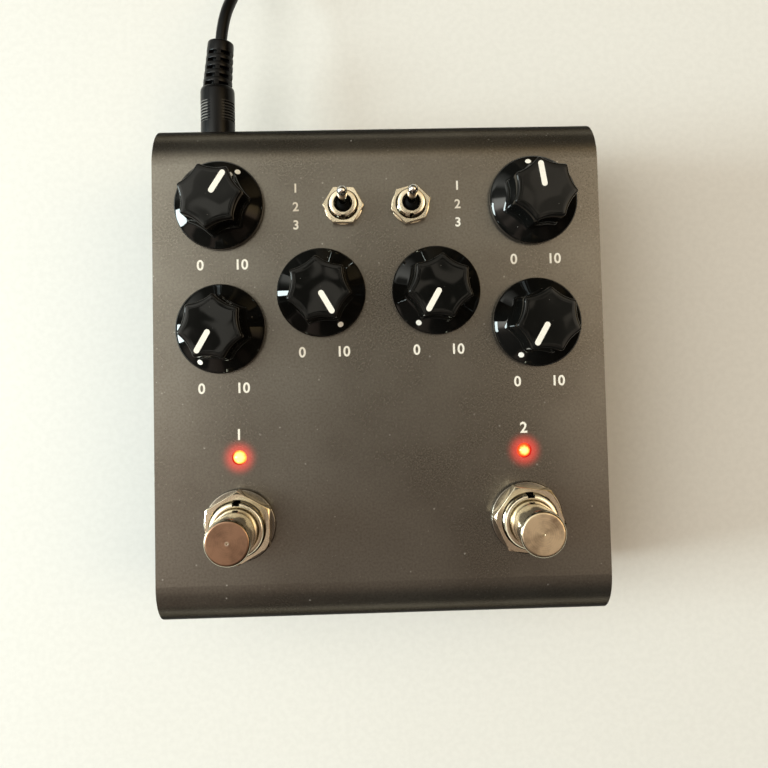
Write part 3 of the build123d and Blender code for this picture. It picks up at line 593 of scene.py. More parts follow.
def around(steps, notch=None):
    """Even angles round a turn, with a notch's two walls put in at their own angles."""
    angles = [2 * pi * step / steps for step in range(steps)]
    if notch:
        hair = 1e-4
        centre, half = notch
        angles = [angle for angle in angles if apart(angle, centre) > half * 0.9]
        for wall in (centre - half, centre + half):
            angles += [wall - hair, wall + hair]
        angles.append(centre)
    return sorted(angle % (2 * pi) for angle in angles)


def eased(corners, steps=4):
    """Rows of a profile, with each corner that gives a reach rounded by it."""
    rows = []
    for i, (radius, height, *reach) in enumerate(corners):
        here = Vector((radius, height))
        if not reach:
            rows.append(tuple(here))
            continue
        back = (Vector(corners[i - 1][:2]) - here).normalized() * reach[0]
        on = (Vector(corners[(i + 1) % len(corners)][:2]) - here).normalized() * reach[0]
        for step in range(steps + 1):
            t = step / steps
            rows.append(tuple(here + back * (1 - t) ** 2 + on * t * t))
    return rows


def placed(name, data):
    """A new object in the scene."""
    made = bpy.data.objects.new(name, data)
    bpy.context.scene.collection.objects.link(made)
    return made


def stand_for(made, slot, *nodes):
    """Hide the CAD nodes that a piece stands for."""
    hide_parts(*nodes)


class Form:
    """Points and faces of one piece in the making, in millimetres."""

    def __init__(self):
        self.points = []
        self.faces = []
        self.tints = []

    def point(self, place):
        self.points.append(tuple(place))
        return len(self.points) - 1

    def face(self, corners, tint=0):
        """Add a face, with each corner once."""
        kept = list(dict.fromkeys(corners))
        if len(kept) > 2:
            self.faces.append(kept)
            self.tints.append(tint)

    def wall(self, low, high, tint=0):
        """Join two rings of points with faces; a tip is a ring of one point."""
        count = max(len(low), len(high))
        for i in range(count):
            j = (i + 1) % count
            corners = (low[i % len(low)], low[j % len(low)], high[j % len(high)], high[i % len(high)])
            self.face(corners, tint)

    def turned(self, profile, angles, place=Matrix(), closed=False, tint=0):
        """Add rings about an upright line, from a profile that may follow the angle."""
        columns = [profile(angle) if callable(profile) else profile for angle in angles]
        rings = []
        for row in zip(*columns):
            ring = []
            for angle, (radius, level) in zip(angles, row):
                ring.append(self.point(place @ Vector((radius * cos(angle), radius * sin(angle), level))))
                if radius == 0:
                    break
            rings.append(ring)
        for low, high in zip(rings, rings[1:] + rings[:1] if closed else rings[1:]):
            self.wall(low, high, tint)
        return self

    def block(self, width, depth, low, high, place, corner, tint=0):
        """Add an upright block with round corners and eased ends."""
        outline = []
        for quarter, (right, rear) in enumerate(((1, 1), (-1, 1), (-1, -1), (1, -1))):
            for step in range(5):
                angle = (quarter + step / 4) * pi / 2
                x = right * (width / 2 - corner) + corner * cos(angle)
                y = rear * (depth / 2 - corner) + corner * sin(angle)
                outline.append((x, y))
        ease = min(corner, 0.3)
        rings = []
        for level, inset in ((low, ease), (low + ease, 0), (high - ease, 0), (high, ease)):
            wide = 1 - 2 * inset / width
            deep = 1 - 2 * inset / depth
            rings.append([self.point(place @ Vector((x * wide, y * deep, level))) for x, y in outline])
        for under, over in zip(rings, rings[1:]):
            self.wall(under, over, tint)
        self.face(rings[0][::-1], tint)
        self.face(rings[-1], tint)

    def piece(self, name, *finishes, body="pedal", at=(0, 0, 0), turn=0.0, crease=35):
        """Make the object, shade it and let it ride on a body."""
        mesh = bpy.data.meshes.new(name)
        mesh.from_pydata([tuple(MM * c for c in point) for point in self.points], [], self.faces)
        mesh.polygons.foreach_set("material_index", self.tints)
        mesh.validate()
        for finish in finishes:
            mesh.materials.append(finish_named(finish))
        mesh.shade_smooth()
        mesh.set_sharp_from_angle(angle=radians(crease))
        made = placed(name, mesh)
        made.location = [MM * c for c in at]
        made.rotation_euler.z = radians(turn)
        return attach(made, body)


def hex_nut(form, place, flats, bore, height, crown=0.535):
    """Add a six-sided nut whose upper corners are turned down, with a countersunk bore."""
    crown = crown * flats
    foot = 0.12
    sink = 0.25

    def profile(angle):
        outer = flats / 2 / cos(angle % (pi / 3) - pi / 6)
        shoulder = height - max(0, outer - crown) * tan(radians(30))
        return [
            (bore / 2, 0),
            (outer - foot, 0),
            (outer, foot),
            (outer, shoulder - 0.1),
            (outer - 0.03, shoulder - 0.03),
            (outer - 0.1, shoulder),
            (min(crown, outer - 0.13), height),
            (bore / 2 + sink, height),
            (bore / 2, height - sink),
        ]

    form.turned(profile, around(48), place, closed=True)


def ring_washer(form, place, diameter, bore, height):
    """Add a flat ring with eased edges."""
    ease = 0.3 * height
    corners = [(bore, 0), (diameter, 0), (diameter, height), (bore, height)]
    rows = eased([(wide / 2, level, ease) for wide, level in corners])
    form.turned(rows, around(72), place, closed=True)


class Threaded:
    """What controls with threaded bushings share; each kind has its own sizes, in millimetres."""

    # The mouth's rows, as how far in and how far down in pitches, and the bore's chamfer
    MOUTH = ((0.55, 1.1), (0.55, 0.98), (0.1, 0.7), (0.1, 0.34), (0.3, 0.08), (0.5, 0.0))
    CHAMFER = 0.2

    # A key slot's angle, its half width as an angle, and its depth
    KEY = None

    def place(self, node):
        """Where a control stands: upright on the panel."""
        return Matrix.Translation((*middle(node), PANEL))

    def angles(self):
        """Angles round a bushing, with its key slot's walls among them."""
        return around(96, self.KEY[:2]) if self.KEY else around(96)

    def bushing(self, form, place, floor):
        """Add a threaded tube through the sheet, with a turned-in mouth and any key slot."""
        bore = self.BORE / 2
        half = self.THREAD / 2
        deep, drop = self.MOUTH[0]
        tall = self.HIGH - drop * self.PITCH + SHEET
        count = max(4, round(4 * tall / self.PITCH))

        def profile(angle):
            limit = half
            if self.KEY and apart(angle, self.KEY[0]) < self.KEY[1]:
                limit = half - self.KEY[2]
            rows = [(bore, floor), (bore, -SHEET), (limit, -SHEET)]
            for i in range(1, count):
                level = tall * i / count - SHEET
                turn = (level / self.PITCH - angle / (2 * pi)) % 1
                rows.append((min(limit, half - deep * self.PITCH * abs(2 * turn - 1)), level))
            for inset, down in self.MOUTH:
                rows.append((min(limit, half - inset * self.PITCH), self.HIGH - down * self.PITCH))
            return rows + [(bore + self.CHAMFER, self.HIGH), (bore, self.HIGH - self.CHAMFER)]

        form.turned(profile, self.angles(), place, closed=True)

    def build(self, kind, spots, finishes, nut_finish, washer_finish):
        """Make a piece for each node, then one of all nuts and one of all washers."""
        nuts = Form()
        washers = Form()
        lift = Matrix.Translation((0, 0, self.WASHER["height"]))
        for name, node, turn in spots:
            place = self.place(node)
            form = Form()
            self.shape(form, place, node)
            stand_for(form.piece(name, *finishes, crease=30), finishes[0], node)
            ring_washer(washers, place, **self.WASHER)
            hex_nut(nuts, place @ lift @ Matrix.Rotation(radians(turn), 4, "Z"), **self.NUT)
        stand_for(nuts.piece(f"{kind}_hex_nuts", nut_finish, crease=20), nut_finish, f"{kind}_nuts")
        stand_for(washers.piece(f"{kind}_ring_washers", washer_finish), nut_finish, f"{kind}_washers")


class ECHO_OT_case(bpy.types.Operator):
    """Finish the folded case, its screws and its feet."""

    bl_idname = "echo_pedal.case"
    bl_label = "Case"

    def execute(self, context):
        paint("case_metal", "top_cover", "base_pan")
        paint("screw_steel", "base_screws")
        paint("foot_rubber", "rubber_feet")
        return {"FINISHED"}


class ECHO_OT_knobs(bpy.types.Operator):
    """Build the six fluted knobs with their pointers and dots."""

    bl_idname = "echo_pedal.knobs"
    bl_label = "Knobs"

    # Levels above the panel and radii, in millimetres
    LOW = 0.7
    RIM = 1.9
    TOP = 12.5
    SKIRT = 10.0
    CROWN = 6.0
    RISE = 2.6
    RECESS = 6.4
    RECESS_TOP = 3.3
    BORE = 3.05
    BORE_TOP = 9.5
    BAND = 1.0
    EDGE = 0.55
    ROOT = 0.35
    WALL_LEVELS = (6.2, 7.6, 9.0, 10.4)

    # Flutes: each an arc struck from outside the knob, with ridges eased between them
    FLUTES = 7
    FLUTE_ARC = 10.8
    FLUTE_OFF = 17.056
    RIDGE_START = 0.86
    DRAFT = radians(1.5)

    # Pointer and dot: where they start or lie, and how far they stand out
    POINTER_START = 0.55
    DOT_REACH = 8.45
    DOT_SLOPE = radians(33)
    SUNK = 0.02
    PROUD = 0.03

    def flute(self, level, angle):
        """The fluted body's radius at a level and an angle."""
        half = pi / self.FLUTES
        aside = abs((angle - pi / 2) % (2 * half) - half) / half
        if aside > self.RIDGE_START:
            aside -= (aside - self.RIDGE_START) ** 2 / (2 * (1 - self.RIDGE_START))
        away = self.FLUTE_OFF
        chord = sqrt(self.FLUTE_ARC ** 2 - (away * sin(aside * half)) ** 2)
        return away * cos(aside * half) - chord - tan(self.DRAFT) * (level - self.RIM)

    def skirt_level(self, radius):
        """How high the conical skirt is at a radius."""
        return self.RIM + self.RISE * (self.SKIRT - radius) / (self.SKIRT - self.CROWN)

    def profile(self, angle):
        """The knob's profile at an angle, from its bore, out over the skirt and up the flutes."""
        band = self.SKIRT - self.BAND
        rows = [(0, self.BORE_TOP)] + eased([
            (self.BORE, self.BORE_TOP),
            (self.BORE, self.RECESS_TOP),
            (self.RECESS, self.RECESS_TOP),
            (self.RECESS, self.LOW, 0.15),
            (self.SKIRT, self.LOW, 0.2),
            (self.SKIRT, self.RIM, 0.45),
            (band, self.skirt_level(band)),
        ])
        wall = self.flute(self.RIM + 1.5, angle)
        foot = self.skirt_level(wall)
        for out in (1.2, 0.7, self.ROOT):
            reach = min(wall + out, band - 0.1)
            rows.append((reach, self.skirt_level(reach)))
        rows.append((wall + 0.1, foot + 0.06))
        for level in (foot + self.ROOT, foot + 1.2, *self.WALL_LEVELS, self.TOP - self.EDGE):
            rows.append((self.flute(level, angle), level))
        flat = self.flute(self.TOP, angle) - self.EDGE
        for step in range(1, 6):
            turn = step * pi / 10
            rows.append((flat + self.EDGE * cos(turn), self.TOP - self.EDGE + self.EDGE * sin(turn)))
        rows += [(flat * portion, self.TOP) for portion in (0.86, 0.66, 0.4, 0.18)]
        return rows + [(0, self.TOP)]

    def pointer(self, settings):
        """A round-ended line on the top."""
        half = settings.pointer_width / MM / 2
        reach = settings.pointer_reach / MM
        form = Form()
        outline = []
        for start, y in ((pi, self.POINTER_START + half), (0, reach - half)):
            for step in range(9):
                angle = start + pi * step / 8
                outline.append((half * cos(angle), y + half * sin(angle)))
        low = [form.point((x, y, self.TOP - self.SUNK)) for x, y in outline]
        high = [form.point((x, y, self.TOP + self.PROUD)) for x, y in outline]
        form.wall(low, high)
        form.face(high)
        return form

    def dot(self, form, settings):
        """A round spot that lies on the skirt."""
        slope = Matrix.Rotation(-self.DOT_SLOPE, 4, "X")
        place = Matrix.Translation((0, self.DOT_REACH, self.skirt_level(self.DOT_REACH))) @ slope
        half = settings.dot / MM / 2
        form.turned([(half, -0.05), (half, self.PROUD), (0, 0.05)], around(24), place)
        return form

    def execute(self, context):
        settings = context.scene.echo_knobs
        for name, turn in KNOB_TURNS.items():
            where = {"body": f"{name}_control", "at": (*middle(f"knob_{name}"), PANEL), "turn": -turn}
            form = Form().turned(self.profile, around(self.FLUTES * 28))
            knob = form.piece(f"fluted_knob_{name}", "knob_plastic", crease=40, **where)
            stand_for(knob, "knob_plastic", f"knob_{name}")
            form = self.dot(self.pointer(settings), settings)
            form.piece(f"knob_pointer_{name}", "mark_paint", **where)
        paint("pot_case", *[f"pot_{name}" for name in KNOB_TURNS])
        paint("shaft_metal", *[f"shaft_{name}" for name in KNOB_TURNS])
        paint("nut_plate", "pot_nuts")
        paint("washer_steel", "pot_washers")
        return {"FINISHED"}


class ECHO_OT_toggles(Threaded, bpy.types.Operator):
    """Build both toggles' bushings, nuts and washers."""

    bl_idname = "echo_pedal.toggles"
    bl_label = "Toggles"

    THREAD = 6.35
    BORE = 3.8
    HIGH = 4.5
    PITCH = 0.63
    KEY = (-pi / 2, asin(1.0 / THREAD), 0.55)
    FLOOR = 0.9
    BALL = 2.8
    FRAME = (7.4, 13.2)
    FRAME_LOW = -4.2
    HOUSING = (6.9, 12.7)
    CORNER = 0.4
    NUT = {"flats": 8.0, "bore": 6.45, "height": 2.0, "crown": 0.562}
    WASHER = {"diameter": 8.6, "bore": 6.65, "height": 0.5}

    def shape(self, form, place, node):
        """A bushing with its floor, on a metal frame and a dark housing."""
        self.bushing(form, place, self.FLOOR)
        form.turned([(0, self.FLOOR), (self.BORE / 2, self.FLOOR)], self.angles(), place)
        form.block(*self.FRAME, self.FRAME_LOW, -SHEET, place, self.CORNER)
        form.block(*self.HOUSING, below(node), self.FRAME_LOW, place, self.CORNER, tint=1)

    def execute(self, context):
        turns = TOGGLE_NUT_TURNS.items()
        spots = [(f"toggle_bushing_{side}", f"toggle_switch_{side}", turn) for side, turn in turns]
        self.build("toggle", spots, ("toggle_metal", "chip_resin"), "nut_plate", "nut_plate")
        paint("lever_plate", *[f"toggle_lever_{side}" for side in SIDES])
        return {"FINISHED"}


class ECHO_OT_footswitches(Threaded, bpy.types.Operator):
    """Build both footswitches' bushings, nuts and washers and finish their buttons."""

    bl_idname = "echo_pedal.footswitches"
    bl_label = "Footswitches"

    THREAD = 12.0
    BORE = 9.7
    HIGH = 5.6
    PITCH = 1.0
    KEY = (pi / 2, asin(1.7 / THREAD), 0.75)
    HOUSING = (17.0, 17.0)
    HOUSING_FLOOR = 1.4
    CORNER = 2.0
    NUT = {"flats": 14.0, "bore": 12.1, "height": 3.0}
    WASHER = {"diameter": 16.0, "bore": 12.3, "height": 1.0}

    def shape(self, form, place, node):
        """A bushing on a dark housing."""
        self.bushing(form, place, below(node) + self.HOUSING_FLOOR)
        form.block(*self.HOUSING, below(node), -SHEET, place, self.CORNER, tint=1)

    def execute(self, context):
        turns = SWITCH_NUT_TURNS.items()
        spots = [(f"footswitch_bushing_{side}", f"footswitch_body_{side}", turn) for side, turn in turns]
        self.build("footswitch", spots, ("switch_metal", "jack_plastic"), "nut_plate", "washer_steel")
        paint("plunger_plate", *[f"footswitch_plunger_{side}" for side in SIDES])
        paint("spring_steel", *[f"footswitch_spring_{side}" for side in SIDES])
        return {"FINISHED"}


class ECHO_OT_lamps(bpy.types.Operator):
    """Light both lamps."""

    bl_idname = "echo_pedal.lamps"
    bl_label = "Lamps"

    def execute(self, context):
        paint("lamp_lens", *[f"lamp_{side}" for side in SIDES])
        return {"FINISHED"}


class ECHO_OT_print(bpy.types.Operator):
    """Print plain numbers by the knobs, toggles and lamps."""

    bl_idname = "echo_pedal.numbers"
    bl_label = "Numbers"

    # A figure's share of the type size, its stroke's extra weight, and the ink's thickness and lift
    CAP_SHARE = 0.72
    WEIGHT = 0.022
    INK = 0.015
    LIFT = 0.01

    # Where the numbers stand, from a knob's middle, the pedal's middle line, a toggle and a lamp
    BELOW_KNOB = 13.4
    TOGGLE_COLUMN = 18.4
    TOGGLE_ROWS = {"1": 4.3, "2": 0.05, "3": -4.1}
    ABOVE_LAMP = 5.0

    def number(self, context, name, words, x, y, scale=1.0):
        """One printed number as a thin plate on the cover."""
        settings = context.scene.echo_print
        text = bpy.data.curves.new(name, "FONT")
        text.body = words
        text.align_x = "CENTER"
        text.align_y = "CENTER"
        text.size = settings.tall * scale / self.CAP_SHARE
        text.offset = self.WEIGHT * text.size
        text.extrude = self.INK * MM
        drawn = placed(name, text)
        mesh = bpy.data.meshes.new_from_object(drawn.evaluated_get(context.evaluated_depsgraph_get()))
        bpy.data.objects.remove(drawn)
        mesh.materials.append(finish_named("panel_ink"))
        mesh.name = name
        made = placed(name, mesh)
        made.location = (x * MM, y * MM, (PANEL + self.LIFT) * MM)
        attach(made, "pedal")

    def execute(self, context):
        spread = context.scene.echo_print.spread / MM
        for name in KNOB_TURNS:
            x, y = middle(f"knob_{name}")
            for words, sign in (("0", -1), ("10", 1)):
                at = (x + sign * spread, y - self.BELOW_KNOB)
                self.number(context, f"dial_{name}_{words}", words, *at)
        for side, sign in SIDES.items():
            _, y = middle(f"toggle_switch_{side}")
            for words, up in self.TOGGLE_ROWS.items():
                at = (sign * self.TOGGLE_COLUMN, y + up)
                self.number(context, f"toggle_{side}_{words}", words, *at, scale=0.9)
            x, y = middle(f"lamp_{side}")
            words = "1" if sign < 0 else "2"
            self.number(context, f"lamp_{side}_{words}", words, x, y + self.ABOVE_LAMP, scale=1.05)
        return {"FINISHED"}


class ECHO_OT_sockets(Threaded, bpy.types.Operator):
    """Build the rear sockets' threaded mouths, nuts and washers."""

    bl_idname = "echo_pedal.sockets"
    bl_label = "Sockets"

    THREAD = 9.0
    BORE = 6.5
    HIGH = 3.1
    PITCH = 0.75
    FLOOR = -22.9
    HOUSING = (15.4, 11.5)
    HOUSING_BACK = -26.0
    CORNER = 1.0
    NUT = {"flats": 11.5, "bore": 9.1, "height": 2.0}
    WASHER = {"diameter": 13.4, "bore": 9.3, "height": 0.5}

    def place(self, node):
        """Where a socket stands: on the rear wall, facing back."""
        low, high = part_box(node)
        at = (middle(node)[0], REAR, (low.z + high.z) / 2 / MM)
        return Matrix.Translation(at) @ Matrix.Rotation(-pi / 2, 4, "X")

    def shape(self, form, place, node):
        """A threaded mouth with a blind bore, on its housing."""
        self.bushing(form, place, self.FLOOR)
        form.turned([(self.BORE / 2, self.FLOOR), (0, self.FLOOR)], self.angles(), place)
        form.block(*self.HOUSING, self.HOUSING_BACK, -SHEET, place, self.CORNER)

    def execute(self, context):
        spots = [(f"threaded_{node}", node, 0) for node in JACKS]
        self.build("jack", spots, ("jack_plastic",), "jack_ring", "jack_ring")
        paint("jack_plastic", "supply_jack")
        return {"FINISHED"}


def shifted(steps, origin):
    """Points that are given from an origin."""
    return [tuple(a + b for a, b in zip(origin, step)) for step in steps]


class ECHO_OT_lead(bpy.types.Operator):
    """Build the supply lead: ribbed plugs with slotted boots, the cord and its tied coil."""

    bl_idname = "echo_pedal.lead"
    bl_label = "Lead"

    # A plug's height, barrel, body, grooves at both sides and plain strips between them
    LEVEL = 20.0
    BARREL = ((0, -6.0), (1.05, -6.0), (1.05, -9.3), (1.25, -9.5), (2.55, -9.5), (2.75, -9.2), (2.75, 0.1))
    RADIUS = 4.4
    BODY = 16.6
    EDGE = 0.6
    SHOULDER = 1.4
    GROOVES = 7
    GROOVE_FIRST = 7.1
    GROOVE_PITCH = 0.76
    GROOVE_WIDTH = 0.38
    GROOVE_DEEP = 0.35
    STRIP = 3.6
    ROLL = radians(9)

    # Its leaning boot, with rows of slots that are parted by ribs
    BOOT = 12.0
    BOOT_WIDE = 3.8
    BOOT_NARROW = 3.35
    BOOT_CORE = 2.3
    BOOT_ROOT = 0.8
    LEAN = radians(5)
    SLOTS = 5
    SLOT_FIRST = 0.7
    SLOT_PITCH = 2.06
    SLOT_WIDTH = 1.0
    RIBS = 6
    RIB_HALF = 0.2
    RIB_TURN = radians(36)
    HAIR = 0.06
    ROUND = 0.02

    # The cord's route from the boot's end to the coil, as in the solids
    END = (BOOT * sin(LEAN), BODY + BOOT * cos(LEAN), 0)
    EXIT = (round(middle("supply_jack")[0] + END[0], 3), round(REAR + END[1], 3), LEVEL)
    ROUTE = (
        (0, 0, 0),
        (0.55, 6.3, 0),
        (3.2, 15.0, -3.0),
        (5.8, 23.6, -9.8),
        (8.5, 32.0, -15.6),
        (10.6, 40.5, -17.3),
    )

    # The coil's middle from the boot's end, its size and points, and the route from it to the far plug
    COIL_STEP = (30.0, 51.6, -LEVEL)
    COIL = shifted([COIL_STEP], EXIT)[0]
    COIL_RADIUS = 19.4
    COIL_PITCH = 3.95
    COIL_LOW = 2.7
    HALF_TURN = 12
    TAIL = (
        (-23.35, 0, 6.65),
        (-23.6, 7.0, 6.4),
        (-20.5, 16.6, 5.6),
        (-12.0, 24.4, 4.7),
        (-3.6, 26.0, 4.4),
        (3.1, 26.0, 4.4),
    )

    def reaches(self):
        """The coil's radius after each half turn: inwards below, then outwards above."""
        half = self.COIL_PITCH / 2
        inwards = [self.COIL_RADIUS - i * half for i in range(6)]
        inner = inwards[-1]
        outwards = [inner + i * half for i in range(1, 4)]
        return inwards + [inner - half / 4] + outwards + [self.COIL_RADIUS + self.COIL_PITCH]

    def coil(self):
        """Points round the coil, in below, up at the middle and out above."""
        points = []
        reaches = self.reaches()
        bow = 1 / cos(pi / (2 * self.HALF_TURN))
        climb = len(reaches) // 2
        for i, (reach, after) in enumerate(zip(reaches, reaches[1:])):
            for step in range(self.HALF_TURN):
                t = step / self.HALF_TURN
                angle = pi - (i + t) * pi
                radius = (reach + (after - reach) * t) * bow
                lift = 0.0 if i < climb else (t * t * (3 - 2 * t) if i == climb else 1.0)
                level = self.COIL_LOW + self.COIL_PITCH * lift
                points.append((radius * cos(angle), radius * sin(angle), level))
        return shifted(points, self.COIL)

    def cord(self, settings):
        """The whole cord on one smooth spline."""
        points = shifted(self.ROUTE, self.EXIT) + self.coil() + shifted(self.TAIL, self.COIL)
        curve = bpy.data.curves.new("supply_lead", "CURVE")
        curve.dimensions = "3D"
        curve.bevel_depth = settings.diameter / 2
        curve.bevel_resolution = 5
        curve.resolution_u = 6
        curve.use_fill_caps = True
        spline = curve.splines.new("NURBS")
        spline.points.add(len(points) - 1)
        for point, place in zip(spline.points, points):
            point.co = (*[MM * c for c in place], 1)
        spline.order_u = 3
        spline.use_endpoint_u = True
        curve.materials.append(finish_named("cord_jacket"))
        made = placed("supply_lead", curve)
        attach(made, "pedal")
        stand_for(made, "cord_jacket", "supply_cord", "cord_coil")
        return made

    def body(self, angle):
        """The plug body's profile: grooves sunk at both sides, then a round shoulder."""
        beside = abs(cos(angle - self.ROLL)) * self.RADIUS > self.STRIP / 2
        sunk = self.RADIUS - self.GROOVE_DEEP if beside else self.RADIUS
        edge = self.HAIR / 2
        rows = eased([(0, 0), (self.RADIUS, 0, self.EDGE), (self.RADIUS, self.GROOVE_FIRST)])[:-1]
        for i in range(self.GROOVES):
            low = self.GROOVE_FIRST + i * self.GROOVE_PITCH
            high = low + self.GROOVE_WIDTH
            rows += [(self.RADIUS, low - edge), (sunk, low + edge)]
            rows += [(sunk, high - edge), (self.RADIUS, high + edge)]
        end = [(self.RADIUS, high), (self.RADIUS, self.BODY, self.SHOULDER), (0, self.BODY)]
        return rows + eased(end)[1:]

    def taper(self, level):
        """The boot's outer radius at a level."""
        return self.BOOT_WIDE + (self.BOOT_NARROW - self.BOOT_WIDE) * level / self.BOOT

    def boot(self, angle):
        """The boot's profile: rows of slots parted by ribs, on a tapered tube with a round end."""
        hair = self.HAIR
        pitch = 2 * pi / self.RIBS
        on_rib = abs((angle - self.RIB_TURN + pitch / 2) % pitch - pitch / 2) < self.RIB_HALF

        def slot(level):
            return self.taper(level) if on_rib else self.BOOT_CORE

        rows = [(0, -self.BOOT_ROOT), (slot(-self.BOOT_ROOT), -self.BOOT_ROOT)]
        for i in range(self.SLOTS):
            high = self.SLOT_FIRST + i * self.SLOT_PITCH
            low = high - self.SLOT_WIDTH
            if i:
                rows += [(self.taper(low) - self.ROUND, low - 2 * hair), (self.taper(low) - hair, low)]
                rows.append((slot(low), low + hair))
            rows += [(slot(high), high - hair), (self.taper(high) - hair, high)]
            rows.append((self.taper(high) - self.ROUND, high + 2 * hair))
        end = [(self.BOOT_NARROW, self.BOOT, self.EDGE), (0, self.BOOT)]
        return rows + eased([(self.taper(high), high + 4 * hair)] + end)

    def plug(self, name, place, node):
        """A moulded plug: metal barrel, grooved body and slotted boot."""
        form = Form()
        along = Matrix.Rotation(-pi / 2, 4, "X")
        lean = Matrix.Translation((0, self.BODY, 0)) @ Matrix.Rotation(-self.LEAN, 4, "Z")
        form.turned(self.BARREL, around(40), place @ along, tint=1)
        form.turned(self.body, around(120), place @ along)
        form.turned(self.boot, around(120), place @ lean @ along)
        made = form.piece(name, "plug_moulding", "shaft_metal", crease=40)
        stand_for(made, "plug_moulding", node)
        return made

    def execute(self, context):
        settings = context.scene.echo_lead
        place = Matrix.Translation((middle("supply_jack")[0], REAR, self.LEVEL))
        near = self.plug("plug_at_pedal", place, "pedal_plug")
        leave = shifted(self.TAIL, self.COIL)[-1]
        turn = Matrix.Rotation(pi / 2 + self.LEAN, 4, "Z")
        back = Matrix.Translation(-Vector(self.END))
        far = self.plug("plug_at_far_end", Matrix.Translation(leave) @ turn @ back, "far_plug")
        cord = self.cord(settings)
        paint("tie_band", "cord_tie")
        [MM * c for c in self.EXIT]
        return {"FINISHED"}


class ECHO_OT_insides(bpy.types.Operator):
    """Finish the boards, their posts and the parts on them."""

    bl_idname = "echo_pedal.insides"
    bl_label = "Insides"

    def execute(self, context):
        paint("board_laminate", "control_board", "jack_board")
        paint("chip_resin", "control_board_chips", "board_header")
        paint("can_metal", "jack_board_parts")
        paint("post_brass", "board_posts")
        return {"FINISHED"}


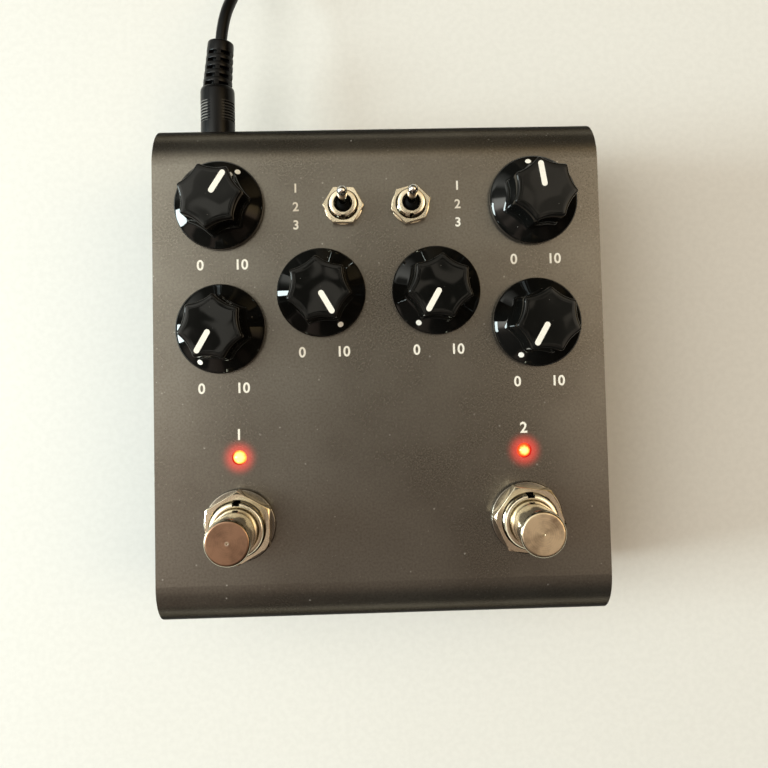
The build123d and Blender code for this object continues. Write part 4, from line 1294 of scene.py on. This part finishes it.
class ECHO_OT_stage(bpy.types.Operator):
    """Set the table, the light and the camera."""

    bl_idname = "echo_pedal.stage"
    bl_label = "Stage"

    # Half the table, the window and the camera's place, in metres, and its turns, in degrees
    REACH = 4.0
    WINDOW_SIZE = (0.38, 0.5)
    WINDOW_PLACE = (-1.0, -0.04, 0.4)
    WINDOW_AIM = (1.0, 0.04, -0.36)
    WINDOW_TINT = (0.86, 1.0, 1.0)
    CAMERA_PLACE = (-0.00366, 0.002393, 0.206741)
    CAMERA_TURNS = (2.45543, -1.23215, -1.31004)

    def table(self):
        """A wide pale table that keeps the pedal's shadow."""
        mesh = bpy.data.meshes.new("table")
        corners = [(-1, -1), (1, -1), (1, 1), (-1, 1)]
        mesh.from_pydata([(x * self.REACH, y * self.REACH, 0) for x, y in corners], [], [(0, 1, 2, 3)])
        mesh.materials.append(finish_named("pale_table"))
        placed("table", mesh)

    def window(self, settings):
        """One soft side light, as from a window at the left."""
        lamp = bpy.data.lights.new("window", "AREA")
        lamp.shape = "RECTANGLE"
        lamp.size, lamp.size_y = self.WINDOW_SIZE
        lamp.energy = settings.window
        lamp.color = self.WINDOW_TINT
        made = placed("window", lamp)
        made.location = self.WINDOW_PLACE
        made.rotation_euler = Vector(self.WINDOW_AIM).to_track_quat("-Z", "Y").to_euler()

    def sky(self, scene):
        """A soft room: pale overhead and to the left, dark towards the front and the rear."""
        scene.world = bpy.data.worlds.new("room")
        made = Finish(scene.world, "Background")
        across, along, up = made.axes("Generated")
        where = made.place("Generated")
        left = made.ease(across, 0.3, -0.5)

        # A pale ring overhead that fades to the front and rear; noise sizes are thousandths of the sky
        clutter = made.ease(made.noise(30, 0, where), 0.4, 0.52) * 0.36 + 0.64
        ring = made.ease(up, 0.3, 0.75) * (1 - made.ease(up, 0.87, 0.985) * clutter)
        ring = ring + (made.ease(up, 0.0, 0.4) * 0.27 - ring) * made.ease(abs(along), 0.15, 0.36)

        # Dark sides of the room, with large dark things low down
        front = made.ease(along, 0.08, -0.3) * 0.79 + made.ease(along, -0.3, -0.85) * 0.18
        front = front * (1 - left * 0.2)
        rear = made.ease(along, 0.45, 0.85) * 0.9
        wall = made.ease(across, 0.1, 0.45)
        wall = made.ease(up, 0.55, 0.78) * wall * 0.1 - made.ease(up, 0.66, 0.5) * wall * 0.75
        level = 0.03 + ring * (2.3 + left * 1.9) * (1 + wall) * (1 - front) * (1 - rear)
        things = made.ease(made.noise(420, 0, where), 0.44, 0.58)
        level = level * (1 - things * made.ease(up, 0.86, 0.5) * 0.9) * scene.echo_stage.room

        # Warm at the right and the front, and a plain backdrop for the camera itself
        right = made.mix(made.ease(up, 0.93, 0.7), (1.0, 0.88, 0.7), (1.0, 0.72, 0.36))
        warm = made.mix(front, made.mix(left, right, (1.0, 1.0, 0.91)), (1.0, 0.71, 0.56))
        seen = made.node("ShaderNodeLightPath", {}, "Is Camera Ray")
        tone = made.mix(seen, warm, scene.echo_stage.backdrop)
        made.feed(Color=tone, Strength=level + (1 - level) * seen)

    def camera(self, scene):
        """The photograph's view from above."""
        lens = bpy.data.cameras.new("camera")
        lens.lens = 33.72
        lens.sensor_width = 36.0
        lens.shift_x = 0.00605
        lens.shift_y = -0.0829
        lens.clip_start = 0.01
        lens.clip_end = 20.0
        scene.camera = placed("camera", lens)
        turns = Euler([radians(turn) for turn in self.CAMERA_TURNS])
        scene.camera.matrix_world = Matrix.LocRotScale(Vector(self.CAMERA_PLACE), turns, None)

    def execute(self, context):
        context.scene.view_settings.view_transform = "Standard"
        self.table()
        self.window(context.scene.echo_stage)
        self.sky(context.scene)
        self.camera(context.scene)
        return {"FINISHED"}


SETTINGS = {
    "echo_case": CaseSettings,
    "echo_knobs": KnobSettings,
    "echo_metal": MetalSettings,
    "echo_lamps": LampSettings,
    "echo_print": PrintSettings,
    "echo_lead": LeadSettings,
    "echo_stage": StageSettings,
}
OPERATORS = (
    ECHO_OT_stage,
    ECHO_OT_lead,
    ECHO_OT_case,
    ECHO_OT_knobs,
    ECHO_OT_toggles,
    ECHO_OT_footswitches,
    ECHO_OT_lamps,
    ECHO_OT_print,
    ECHO_OT_sockets,
    ECHO_OT_insides,
)


class ECHO_PT_pedal(bpy.types.Panel):
    """The pedal's groups and their settings."""

    bl_idname = "ECHO_PT_pedal"
    bl_label = "Tape Echo Pedal"
    bl_space_type = "VIEW_3D"
    bl_region_type = "UI"
    bl_category = "Echo Pedal"

    def draw(self, context):
        for operator in OPERATORS:
            self.layout.operator(operator.bl_idname)
        for name, group in SETTINGS.items():
            box = self.layout.box()
            for key in group.__annotations__:
                box.prop(getattr(context.scene, name), key)


CLASSES = (*SETTINGS.values(), *OPERATORS, ECHO_PT_pedal)


def register():
    for made in CLASSES:
        bpy.utils.register_class(made)
    for name, group in SETTINGS.items():
        setattr(bpy.types.Scene, name, bpy.props.PointerProperty(type=group))


def unregister():
    for name in SETTINGS:
        delattr(bpy.types.Scene, name)
    for made in reversed(CLASSES):
        bpy.utils.unregister_class(made)


def main():
    register()
    for operator in OPERATORS:
        group, name = operator.bl_idname.split(".")
        getattr(getattr(bpy.ops, group), name)()


if __name__ == "__main__":
    main()
